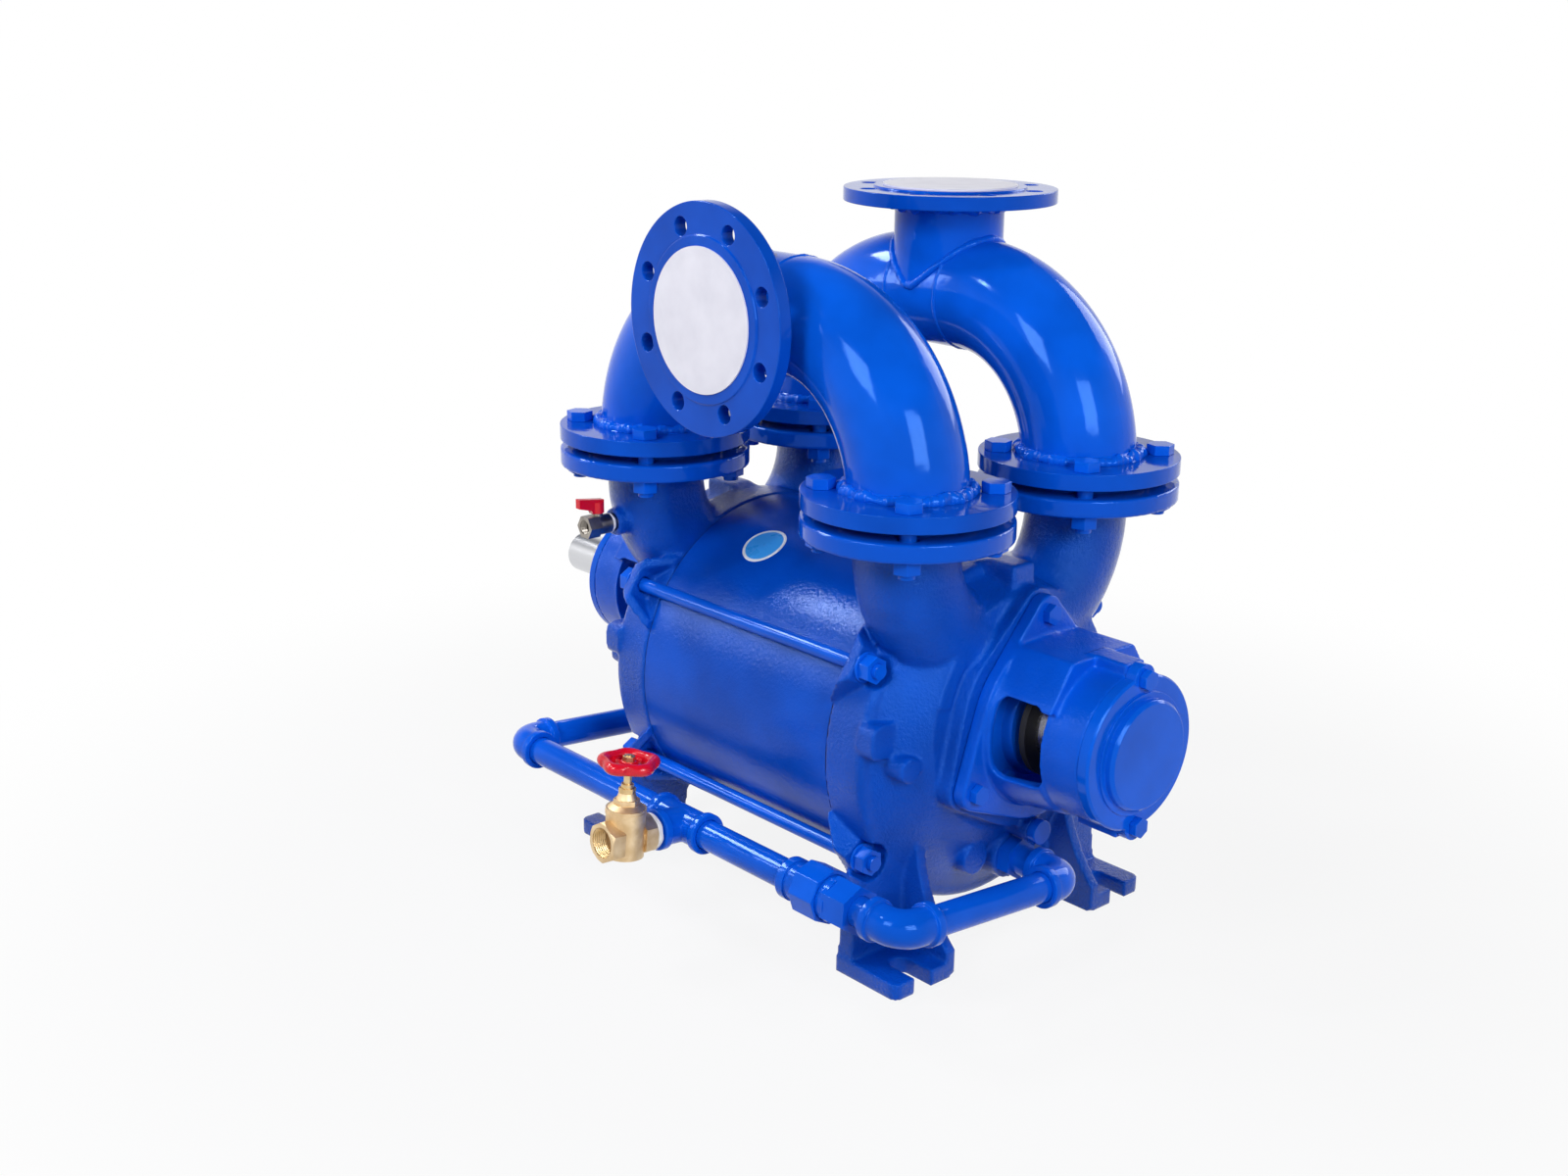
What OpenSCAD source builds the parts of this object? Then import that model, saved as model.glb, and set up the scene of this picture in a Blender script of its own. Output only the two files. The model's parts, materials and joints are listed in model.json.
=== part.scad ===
// Liquid ring vacuum pump with a suction and a discharge manifold and a seal water line.
// X runs along the shaft towards the free end, Y towards the discharge side, Z up.
// The origin lies on the floor under the middle of the casing.

/* [Casing] */
// Length of the casing barrel between its end faces
casing_l = 282; // [262:1:302]
// Outer radius of the casing barrel
casing_r = 174; // [171:0.5:175]
// Wall of the casing barrel
casing_wall = 10; // [8:0.5:11]
// Height of the shaft above the floor
shaft_z = 244; // [240:1:252]
// Distance of the barrel's axis below the shaft
eccentricity = 33; // [31:0.5:34]
// Thickness of the gasket between casing and cover
joint_gasket_t = 1; // [0.6:0.1:2]

/* [Impeller and port plates] */
// Gap between the blade tips and the bottom of the casing
tip_gap = 3; // [2:0.5:5]
// Radius of the impeller hub
hub_r = 52; // [48:0.5:55]
// Number of blades
blade_count = 18; // [12:1:20]
// Thickness of a blade
blade_t = 5; // [4:0.5:6]
// Angle by which a blade leans forward from root to tip
blade_sweep = 22; // [10:1:28]
// Thickness of the shroud in the middle of the impeller
shroud_t = 6; // [4:0.5:8]
// Thickness of a port plate
port_plate_t = 14; // [12:0.5:16]
// Gap between the impeller's side and the port plate
side_gap = 0.4; // [0.3:0.05:0.6]
// Clearance between pieces that fit into each other
fit = 0.05; // [0.03:0.01:0.1]

/* [End covers] */
// Depth of a cover from its joint face to the bracket seat
cover_depth = 106; // [102:1:112]
// Width of the round rim at the joint
rim_w = 50; // [44:1:54]
// How far the rim stands out from the casing
rim_proud = 1.5; // [1:0.1:2]
// Width of the raised bracket seat along the shaft
seat_step = 16; // [12:1:18]
// Radius of the port necks
neck_r = 51; // [48:0.5:53]
// Radius of the bend by which a neck turns towards the shaft
neck_bend_r = 105; // [100:1:112]
// Wall of the port necks
neck_wall = 13; // [11:0.5:14]
// Width of the sloped collar where a neck meets its flange
neck_collar = 10; // [6:1:12]
// Radius of the shaft throat
throat_r = 41; // [39:0.5:44]
// Radius of the seal chamber
seal_chamber_r = 54; // [53:0.5:56]
// Radius of the cover's face round the bracket seat
face_r = 122; // [118:1:126]

/* [Ports] */
// Distance of the port centres from the cover's joint face
port_offset = 46; // [44:1:50]
// Distance of the port centres from the shaft
port_y = 120; // [118:1:126]
// Height of the welded flange's top above the shaft
port_rise = 232; // [226:1:240]
// Diameter of the port flanges
port_flange_d = 200; // [196:1:204]
// Bolt circle of the port flanges
port_bolt_circle = 160; // [156:1:164]
// Bore of the ports
port_bore = 80; // [72:1:82]
// Thickness of the cast flange
cast_flange_t = 18; // [16:1:20]
// Thickness of the welded flange
weld_flange_t = 16; // [14:1:18]
// Height of the raised faces at the port joints
raised_face_h = 3; // [2:0.5:4]
// Diameter of the raised faces at the port joints
raised_face_d = 138; // [132:1:140]
// Thickness of the port gaskets
port_gasket_t = 3; // [2:0.5:4]
// Diameter of the port bolts
port_bolt_d = 16; // [14:1:16]
// Diameter of the flange bolt holes
flange_hole_d = 18; // [17:0.5:19]

/* [Manifolds] */
// Outer diameter of the manifold pipe
pipe_d = 114.3; // [112:0.1:116]
// Wall of the manifold pipe
pipe_wall = 4.5; // [3.5:0.5:6]
// Bend radius of the elbows
elbow_r = 152.4; // [150:0.1:156]
// Diameter of the connection flanges
main_flange_d = 220; // [218:1:224]
// Bolt circle of the connection flanges
main_bolt_circle = 180; // [178:1:182]
// Number of bolt holes in a connection flange
main_bolt_count = 8; // [8:4:8]
// Thickness of the connection flanges without the raised face
main_flange_t = 14; // [12:1:18]
// Diameter of the raised face of the connection flanges
main_face_d = 158; // [150:1:160]
// Height of the raised face of the connection flanges
main_face_h = 2; // [1:0.5:3]
// Distance of the suction face in front of the suction ports
suction_reach = 91; // [86:1:100]
// Distance of the discharge face above the manifold's middle line
discharge_rise = 107; // [100:1:120]
// Turn of the suction flange about its own axis
suction_turn = -1.85; // [-5:0.05:5]
// Leg of the fillet welds
weld_leg = 7; // [4:0.5:8]
// Diameter of the transit covers
transit_d = 138; // [130:1:146]
// Thickness of the transit covers
transit_t = 1.6; // [1:0.1:3]

/* [Tie rods] */
// Gap between the casing barrel and a tie rod
rod_gap = 2.65; // [2.2:0.05:5]
// Angle of the rods above and below the horizontal
rod_angle = 32; // [30:0.5:34]
// Diameter of a tie rod
rod_d = 14.7; // [13:0.1:15]
// Distance of the nut seat from the cover's joint face
ear_depth = 32; // [30:1:36]
// Width across the flats of the tie-rod nuts
rod_nut_af = 24; // [22:1:26]

/* [Feet] */
// Distance of the feet's outer sides from the shaft's plane
foot_out_y = 183; // [180:1:188]
// Width of a foot
foot_w = 81; // [78:1:84]
// Distance of a foot's end from the cover's joint face
foot_reach = 111; // [108:1:116]
// Thickness of a foot's base plate
foot_t = 17; // [15:0.5:20]
// Width of the open hold-down slots
slot_w = 22; // [18:1:24]
// Length of the hold-down slots
slot_l = 42; // [36:1:46]

/* [Bearing brackets] */
// Radius of the circle of bracket bolts
bracket_bolt_r = 106; // [104:0.5:108]
// Radius of the lobes round the bracket bolts
bracket_lobe_r = 18; // [16:0.5:20]
// Radius of the bracket flange between the lobes
bracket_waist_r = 88; // [86:0.5:92]
// Thickness of the bracket flange
bracket_flange_t = 14; // [12:0.5:16]
// Length of the open part between flange and bearing housing
window_l = 58; // [54:1:64]
// Length of the bearing housing
housing_l = 46; // [44:1:50]
// Outer radius of the bearing housing
housing_r = 75; // [73:0.5:77]
// Radius of the circle of bearing cover bolts
lug_bolt_r = 72.5; // [71:0.5:74]
// Thickness of the bearing cover plates
cover_plate_t = 12; // [10:0.5:14]
// Radius of the closed cap
cap_r = 53.5; // [50:0.5:56]
// How far the cap stands out from its plate
cap_h = 11; // [9:0.5:14]

/* [Shaft and bearings] */
// Radius of the shaft under the impeller
shaft_r = 30; // [29:0.5:31]
// Radius of the bearing seats
bearing_bore_r = 25; // [24.5:0.5:26]
// Outer radius of the bearings
bearing_out_r = 55; // [54.5:0.5:56]
// Width of the bearings
bearing_w = 27; // [25:1:29]
// Radius of a bearing ball
ball_r = 9.5; // [9:0.1:9.8]
// Number of balls in a bearing
ball_count = 8; // [7:1:8]
// Radius of the drive end
drive_end_r = 24; // [23:0.5:24]
// Length of the drive end outside the bearing cover
drive_end_l = 100; // [90:1:110]
// Width of the keyways
key_w = 14; // [12:1:16]
// Outer radius of the shaft sleeves
sleeve_r = 36; // [35:0.5:37]

/* [Water line] */
// Height of the water ports above the floor
water_z = 88; // [86:1:92]
// Angle by which the water line rises towards the front
water_tilt = 4.8; // [0:0.1:8]
// Distance of the cross pipes from the cover's joint face
cross_offset = 158; // [154:1:166]
// Distance of the long pipe from the water ports
water_reach = 227; // [222:1:240]
// Outer diameter of the water pipe
water_pipe_d = 30; // [28:0.5:31]
// Bore of the water pipe
water_bore_d = 23; // [20:0.5:24]
// Distance from a fitting's middle to its end
fitting_l = 38; // [36:1:40]
// Radius of the bead at a fitting's end
bead_r = 21; // [20:0.5:23]
// Place of the tee along the long pipe
tee_x = -10; // [-20:1:10]
// Distance of the union from the corner of the water line
union_offset = 101; // [98:1:106]

/* [Gate valve] */
// Distance of the valve's middle from the long pipe
valve_offset = 75; // [74:1:80]
// Length of the valve between its ends
valve_l = 56; // [54:1:58]
// Width across the flats of the valve's ends
valve_af = 38; // [36:1:42]
// Radius of the valve's threaded ends
valve_thread_r = 15.2; // [15.2:0.1:15.6]
// Radius of the valve's seat bore
valve_bore_r = 9; // [8:0.5:9]
// Outer diameter of the handwheel
wheel_d = 60; // [56:1:66]
// Height of the handwheel's rim above the valve's middle
wheel_z = 78; // [76:1:84]
// Travel of the wedge from shut to open
wedge_travel = 18; // [16:0.5:18]

/* [Ball valve] */
// Height of the ball valve above the shaft
vent_rise = 132; // [128:1:138]
// Distance of the ball's middle in front of the suction ports
vent_reach = 77; // [75:1:82]
// Radius of the ball
vent_ball_r = 7.5; // [7:0.1:7.5]
// Length of the lever
lever_l = 25; // [20:1:30]

/* [Hidden] */
$fn = 96;
eps = 1;

PUMP_BLUE = "#0b4fc4";
CAST_BLUE = "#0a47b5";
STEEL = "#c9ccd0";
BRASS = "#c2a15a";
BRONZE = "#a9763c";
RED = "#d3202f";
WHITE = "#f2f2f0";
BLACK = "#2b2b2b";
NICKEL = "#a8a49c";

// Places along the shaft, from the casing outwards
half_l = casing_l / 2;
cover_x = half_l + joint_gasket_t;
rim_x = cover_x + rim_w;
seat_x = cover_x + cover_depth;
pad_x = seat_x - seat_step;
bracket_x = seat_x + bracket_flange_t;
housing_x = bracket_x + window_l;
plate_x0 = housing_x + housing_l;
plate_x1 = plate_x0 + cover_plate_t;
cap_x = plate_x1 + cap_h;
spigot_l = 7;
bearing_x1 = plate_x0 - spigot_l;
bearing_x0 = bearing_x1 - bearing_w;
port_x = cover_x + port_offset;
foot_x = cover_x + foot_reach;
cross_x = cover_x + cross_offset;
union_x = cross_x - union_offset;

// Heights and radii of the casing
casing_z = shaft_z - eccentricity;
casing_in_r = casing_r - casing_wall;
rim_r = casing_r + rim_proud;
impeller_r = casing_in_r - eccentricity - tip_gap;
rod_circle_r = casing_r + rod_gap + rod_d / 2;

// Stack of the port joints, from the top down
port_top_z = shaft_z + port_rise;
weld_flange_z = port_top_z - weld_flange_t;
port_gasket_z = weld_flange_z - raised_face_h - port_gasket_t;
cast_top_z = port_gasket_z - raised_face_h;
cast_flange_z = cast_top_z - cast_flange_t;
neck_bend_z = cast_flange_z - 16;
pipe_r = pipe_d / 2;
pipe_in_r = pipe_r - pipe_wall;
branch_r = pipe_r - 0.6;
pipe_socket_gap = 1;
elbow_z = weld_flange_z + raised_face_h;
run_z = elbow_z + elbow_r;
suction_face_y = -(port_y + suction_reach);
discharge_face_z = run_z + discharge_rise;

// Seal and sleeve
seal_cover_r = 80;
seal_cover_t = 10;
seal_cover_hub_r = 57;
seal_cover_hub_l = 20;
seal_bolt_r = 68;
seal_bolt_d = 10;
seal_seat_t = 10;
seal_seat_r = 50;
seal_head_r = 47;
seal_head_l = 30;
sleeve_x1 = seat_x + 38;
slinger_x = sleeve_x1 - 10;

// Bearings and shaft details
drive_seal_r = 38;
impeller_key_l = 120;
key_depth = 6;
pitch_r = (bearing_bore_r + bearing_out_r) / 2;
ring_gap = 6;
race_r = ball_r + 0.3;
bearing_mid_x = (bearing_x0 + bearing_x1) / 2;
plug_thread_r = 9;

// Fasteners
bracket_bolt_d = 12;
bracket_sag = 14;
lug_bolt_d = 12;
port_nut_h = 13;
rod_nut_h = 13;
rod_washer_t = 3;
bracket_bolt_angles = [90, 210, 330];
seal_bolt_angles = [45, 135, 225, 315];
rod_angles = [rod_angle, 180 - rod_angle, 180 + rod_angle, -rod_angle];
ear_seat_x = cover_x + ear_depth;
lug_top_z = casing_z + rim_r + 5;

// Water line
water_r = water_pipe_d / 2;
water_bore_r = water_bore_d / 2;
socket_l = 13;
bead_l = 9;
fitting_r = water_r + 3;
water_boss_r = 24;
water_boss_x = cover_x + 86;
valve_y = -(water_reach + valve_offset);
union_half = 47;
union_collar_r = 22;

// Gate valve
wedge_r = valve_bore_r + 2;
wedge_t = 9;
slot_gap = 0.35;
valve_end_l = 15;
barrel_r = 19.8;
bonnet_z = wedge_r + wedge_travel;
collar_z = bonnet_z + 2.5;
collar_h = 3.5;
stem_r = 4;
stem_thread_r = 2.8;

// Ball valve
vent_y = -(port_y + vent_reach);
vent_boss_y = vent_y + 18;
vent_boss_r = 15;
vent_thread_r = 8.3;
vent_end_y = -17;
vent_flow_r = 4.5;
vent_stem_r = 3;
vent_inlet_r = 7.5;
vent_inlet_l = 8;
lever_z = 13.5;

// Puts a shape on the shaft's axis
module on_shaft() {
    translate([0, 0, shaft_z]) children();
}

// Puts a shape on the casing's axis
module on_casing() {
    translate([0, 0, casing_z]) children();
}

// Repeats a shape at the drive end
module both_ends() {
    children();
    mirror([1, 0, 0]) children();
}

// Repeats a shape on the other side of the shaft
module both_sides() {
    children();
    mirror([0, 1, 0]) children();
}

// Round bar along X
module bar_x(x0, x1, r) {
    translate([x0, 0, 0]) rotate([0, 90, 0]) cylinder(h = x1 - x0, r = r);
}

// Round bar along Y
module bar_y(y0, y1, r) {
    translate([0, y0, 0]) rotate([-90, 0, 0]) cylinder(h = y1 - y0, r = r);
}

// Ring along X
module ring_x(x0, x1, r_in, r_out) {
    difference() {
        bar_x(x0, x1, r_out);
        bar_x(x0 - eps, x1 + eps, r_in);
    }
}

// Prism along X with its outline in Y and Z
module prism_x(x0, x1) {
    translate([x0, 0, 0]) rotate([90, 0, 90]) linear_extrude(height = x1 - x0) children();
}

// Prism along Y with its outline in X and Z
module prism_y(y0, y1) {
    translate([0, y1, 0]) rotate([90, 0, 0]) linear_extrude(height = y1 - y0) children();
}

// Body turned about X from points of radius and place
module turned_x(points) {
    rotate([0, 90, 0]) rotate_extrude() polygon(points);
}

// Regular bar with flats across Z, such as a hexagon
module flats(af, h, sides = 6) {
    cylinder(h = h, r = af / 2 / cos(180 / sides), $fn = sides);
}

// Hexagon bolt along X with its head's seat at x and its shank towards the casing
module bolt_x(x, d, shank) {
    translate([x, 0, 0]) rotate([0, 90, 0]) {
        flats(1.5 * d, 0.65 * d);
        translate([0, 0, -shank]) cylinder(h = shank + eps / 2, r = d / 2);
    }
}

// Copies round the X axis, angles from +Y towards +Z
module round_x(angles, r) {
    for (a = angles) translate([0, r * cos(a), r * sin(a)]) children();
}

// Outline with square corners at the start and round ones at the end
module round_ended(l, w, r) {
    square([l - r, w]);
    translate([0, r]) square([l, w - 2 * r]);
    for (y = [r, w - r]) translate([l - r, y]) circle(r = r);
}

// Rectangle with round corners
module round_rect(l, w, r) {
    translate([r, 0]) square([l - 2 * r, w]);
    translate([0, r]) square([l, w - 2 * r]);
    for (x = [r, l - r]) for (y = [r, w - r]) translate([x, y]) circle(r = r);
}

module casing() {
    color(PUMP_BLUE) on_casing() ring_x(-half_l, half_l, casing_in_r, casing_r);
}

module casing_gaskets() {
    color(BLACK) both_ends() on_casing() ring_x(half_l, cover_x, casing_in_r, casing_r - 0.5);
}

// Discs whose hull is the three-lobed outline of the bracket flange
module bracket_discs(x0, x1, waist_r, lobe_r) {
    bar_x(x0, x1, waist_r, $fn = 64);
    translate([0, 0, -bracket_sag]) bar_x(x0, x1, waist_r, $fn = 64);
    round_x(bracket_bolt_angles, bracket_bolt_r) bar_x(x0, x1, lobe_r, $fn = 32);
}

// Point of a bent neck's skin, around its own axis and along the bend
function neck_point(r, around, along, lift) =
    let (reach = neck_bend_r + r * sin(around))
    [r * cos(around), reach * cos(along) - neck_bend_r, lift - reach * sin(along)];

// Bent bar of radius r that starts upright under a port flange and turns towards the shaft
module neck_bend(r, turn) {
    sides = 36;
    steps = 9;
    upright = cast_flange_z - neck_bend_z + 1;
    points = [for (i = [-1:steps]) for (j = [0:sides - 1])
        neck_point(r, 360 * j / sides, turn * max(i, 0) / steps, i < 0 ? upright : 0)];
    walls = [for (i = [0:steps]) for (j = [0:sides - 1]) [i * sides + j, i * sides + (j + 1) % sides,
        (i + 1) * sides + (j + 1) % sides, (i + 1) * sides + j]];
    top = [for (j = [sides - 1:-1:0]) j];
    bottom = [for (j = [0:sides - 1]) (steps + 1) * sides + j];
    translate([port_x, port_y, neck_bend_z]) polyhedron(points, concat([top, bottom], walls));
}

// Neck of one port, trimmed at the joint face
module cover_neck() {
    intersection() {
        neck_bend(neck_r, 78);
        translate([cover_x, -100, 0]) cube([300, 400, port_top_z]);
    }
    translate([port_x, port_y, 0]) {
        translate([0, 0, cast_flange_z - neck_collar - 3])
            cylinder(h = neck_collar + 3, r1 = neck_r - 3, r2 = neck_r + neck_collar);
        translate([0, 0, cast_flange_z]) cylinder(h = cast_flange_t, r = port_flange_d / 2);
        translate([0, 0, cast_flange_z]) cylinder(h = cast_flange_t + raised_face_h, r = raised_face_d / 2);
    }
}

// Bore of one port, bent with its neck
module cover_neck_bore() {
    neck_bend(neck_r - neck_wall, 84);
    translate([port_x, port_y, cast_flange_z]) {
        translate([0, 0, neck_bend_z - cast_flange_z - 4]) cylinder(h = 60, r = port_bore / 2);
        for (a = [45:90:315]) rotate(a) translate([port_bolt_circle / 2, 0, -eps])
            cylinder(h = 60, r = flange_hole_d / 2);
    }
}

// Wedge-shaped ear that carries a tie rod's nut, open on the outside
module cover_ear(angle) {
    base_w = 42;
    seat_w = 17;
    wall = 9;
    pad = 12;
    root_r = rod_circle_r - 40;
    floor_r = rod_circle_r - 13;
    top_r = rod_circle_r + 15;
    on_casing() rotate([angle - 90, 0, 0]) difference() {
        intersection() {
            translate([0, 0, root_r]) linear_extrude(height = top_r - root_r)
                polygon([[cover_x, -base_w], [ear_seat_x, -seat_w], [ear_seat_x, seat_w], [cover_x, base_w]]);
            prism_y(-base_w - eps, base_w + eps) polygon([[cover_x, root_r], [cover_x, rim_r + 1],
                [ear_seat_x - pad, top_r], [ear_seat_x, top_r], [ear_seat_x, root_r]]);
        }
        translate([0, 0, floor_r]) linear_extrude(height = top_r)
            polygon([[cover_x - eps, wall - base_w], [ear_seat_x - pad, wall - seat_w - 6],
                [ear_seat_x - pad, seat_w + 6 - wall], [cover_x - eps, base_w - wall]]);
    }
}

// Hole for a tie rod and the seat for its nut, cut into the cover's rim
module rod_nut_seat(angle) {
    on_casing() rotate([angle - 90, 0, 0]) translate([0, 0, rod_circle_r]) {
        bar_x(cover_x - eps, ear_seat_x + eps, rod_d / 2 + 0.8);
        bar_x(ear_seat_x, seat_x, rod_nut_af / 2 + 7);
    }
}

// Foot on the discharge side: base plate with an open slot, back wall and inner web
module cover_foot() {
    wall_x = cover_x + 28;
    wall_t = 20;
    web_t = 12;
    web_top_z = 150;
    web_top_x = foot_x - 46;
    web_curve_r = 160;
    in_y = foot_out_y - foot_w;
    slot_y = in_y + foot_w / 2 + 3;
    top = [web_top_x, web_top_z];
    toe = [foot_x, foot_t + 11];
    middle = (top + toe) / 2;
    chord = top - toe;
    across = [chord[1], -chord[0]] / norm(chord);
    centre = middle + across * sqrt(pow(web_curve_r, 2) - pow(norm(chord) / 2, 2));
    linear_extrude(height = foot_t) difference() {
        translate([wall_x, in_y]) round_ended(foot_x - wall_x, foot_w, 10);
        translate([foot_x - slot_l + slot_w / 2, slot_y]) circle(r = slot_w / 2);
        translate([foot_x - slot_l + slot_w / 2, slot_y - slot_w / 2]) square([slot_l, slot_w]);
    }
    prism_x(wall_x, wall_x + wall_t) polygon([[in_y, 0], [foot_out_y, 0], [foot_out_y - 11, 100],
        [foot_out_y - 40, 165], [in_y - 20, 165], [in_y - 20, 110]]);
    difference() {
        prism_y(in_y, in_y + web_t) polygon([[wall_x, 0], [foot_x - 4, 0], [foot_x, 4], toe, top,
            [web_top_x, web_top_z + 20], [wall_x, web_top_z + 20]]);
        translate([centre[0], 0, centre[1]]) bar_y(in_y - eps, in_y + web_t + eps, web_curve_r);
    }
}

// Space inside a cover, split by a web into the suction and the discharge chamber
module cover_cavity() {
    web_t = 12;
    difference() {
        hull() {
            on_casing() bar_x(cover_x - eps, rim_x - 18, casing_in_r - 6, $fn = 64);
            on_shaft() bar_x(pad_x - 24, pad_x - 20, seal_chamber_r + 52, $fn = 64);
        }
        on_shaft() bar_x(cover_x - 2 * eps, seat_x, seal_chamber_r + 12);
        translate([cover_x - 2 * eps, -web_t / 2, 0]) cube([cover_depth, web_t, 2 * shaft_z]);
    }
}

// Rim of a cover with a round shoulder
module cover_rim() {
    round_r = 9;
    on_casing() rotate([0, 90, 0]) rotate_extrude() {
        translate([0, cover_x]) square([rim_r, rim_w - round_r]);
        translate([0, rim_x - round_r - eps]) square([rim_r - round_r, round_r + eps]);
        translate([rim_r - round_r, rim_x - round_r]) intersection() {
            circle(r = round_r);
            square(round_r);
        }
    }
}

// Raised arc on the face of a cover
module cover_arc_pad() {
    on_shaft() intersection() {
        ring_x(pad_x - 14, pad_x + 3, face_r - 17, face_r + 1);
        prism_x(pad_x - 14, pad_x + 3) polygon([[0, 0], [150 * cos(14), 150 * sin(14)],
            [150 * cos(31), 150 * sin(31)], [150 * cos(48), 150 * sin(48)]]);
    }
}

// Casting marks on the discharge side of a cover's face: arc, tongue and round boss
module cover_marks() {
    cover_arc_pad();
    translate([0, casing_r - 34, casing_z + 15]) prism_x(rim_x - 8, pad_x - 25) round_rect(36, 34, 9);
    translate([0, casing_r - 31, casing_z + 5]) bar_x(rim_x - 8, pad_x - 6, 13);
}

// Cast end cover at the free end; the vent boss takes the ball valve
module end_cover(vent) {
    difference() {
        union() {
            cover_rim();
            hull() {
                on_casing() bar_x(rim_x - 6, rim_x - 2, rim_r - 9, $fn = 96);
                on_shaft() bar_x(pad_x - 2, pad_x, face_r, $fn = 96);
            }
            on_shaft() hull() bracket_discs(pad_x - 2, seat_x, bracket_waist_r + 12, bracket_lobe_r + 4);
            both_sides() {
                cover_neck();
                cover_foot();
                cover_marks();
            }
            for (a = rod_angles) cover_ear(a);
            prism_y(-16, 16) polygon([[cover_x + 34, casing_z], [cover_x + 34, casing_z + rim_r],
                [rim_x, lug_top_z], [pad_x - 3, lug_top_z], [pad_x - 3, casing_z]]);
            translate([0, 0, water_z]) bar_x(rim_x - 10, water_boss_x, water_boss_r);
            translate([0, 0, water_z + 38]) bar_x(rim_x, bracket_x - 4, 13);
            translate([0, -46, water_z + 8]) bar_x(rim_x, water_boss_x - 4, 17);
            if (vent) translate([port_x, 0, shaft_z + vent_rise])
                bar_y(vent_boss_y, -port_y + 10, vent_boss_r);
        }
        cover_cavity();
        both_sides() cover_neck_bore();
        for (a = rod_angles) rod_nut_seat(a);
        on_shaft() {
            bar_x(cover_x - eps, seat_x + eps, throat_r);
            bar_x(seat_x - 58, seat_x + eps, seal_chamber_r);
            round_x(bracket_bolt_angles, bracket_bolt_r)
                bar_x(seat_x - 26, seat_x + eps, bracket_bolt_d / 2 + fit);
            round_x(seal_bolt_angles, seal_bolt_r)
                bar_x(seat_x - 24, seat_x + eps, seal_bolt_d / 2 + fit);
        }
        translate([0, 0, water_z]) bar_x(cover_x - eps, water_boss_x, water_bore_r);
        translate([0, 0, water_z]) bar_x(water_boss_x - socket_l, water_boss_x + eps, water_r + fit);
        translate([0, 0, water_z + 38]) bar_x(bracket_x - 20, bracket_x, plug_thread_r + fit);
        if (vent) translate([port_x, 0, shaft_z + vent_rise]) {
            bar_y(vent_boss_y - eps, vent_boss_y + 14, vent_thread_r + fit);
            bar_y(vent_boss_y, -port_y, vent_flow_r);
        }
    }
}

module end_cover_free() {
    color(CAST_BLUE) end_cover(false);
}

module end_cover_drive() {
    color(CAST_BLUE) mirror([1, 0, 0]) end_cover(true);
}

module cover_plugs() {
    color(PUMP_BLUE) both_ends() translate([0, 0, water_z + 38]) {
        bar_x(bracket_x - 4, bracket_x + 6, 12.5);
        bar_x(bracket_x - 18, bracket_x - 4 + eps, plug_thread_r);
    }
}

// Port plate with a long suction opening and a short discharge opening below the hub
module port_plate() {
    difference() {
        on_casing() bar_x(half_l - port_plate_t, half_l, casing_in_r - fit);
        on_shaft() {
            bar_x(0, half_l + eps, throat_r);
            translate([half_l - port_plate_t - eps, 0, 0]) {
                port_opening(190, 70);
                port_opening(290, 44);
            }
        }
    }
}

// Opening of a port plate between two angles from +Y towards +Z
module port_opening(start, sweep) {
    rotate([start, 0, 0]) rotate([90, 0, 90]) rotate_extrude(angle = sweep)
        translate([hub_r + 10, 0]) square([26, port_plate_t + 2 * eps]);
}

module port_plate_free() {
    color(BRONZE) port_plate();
}

module port_plate_drive() {
    color(BRONZE) mirror([1, 0, 0]) port_plate();
}

module tie_rods() {
    rod_x1 = ear_seat_x + rod_washer_t + rod_nut_h + 5;
    color(PUMP_BLUE) on_casing() round_x(rod_angles, rod_circle_r) bar_x(-rod_x1, rod_x1, rod_d / 2);
}

module tie_rod_washers() {
    color(PUMP_BLUE) both_ends() on_casing() round_x(rod_angles, rod_circle_r)
        ring_x(ear_seat_x, ear_seat_x + rod_washer_t, rod_d / 2 + fit, rod_nut_af / 2 + 3);
}

module tie_rod_nuts() {
    color(PUMP_BLUE) both_ends() on_casing() round_x(rod_angles, rod_circle_r) difference() {
        translate([ear_seat_x + rod_washer_t, 0, 0]) rotate([0, 90, 0]) flats(rod_nut_af, rod_nut_h);
        bar_x(ear_seat_x, ear_seat_x + 2 * rod_nut_h, rod_d / 2 + fit);
    }
}

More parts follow.
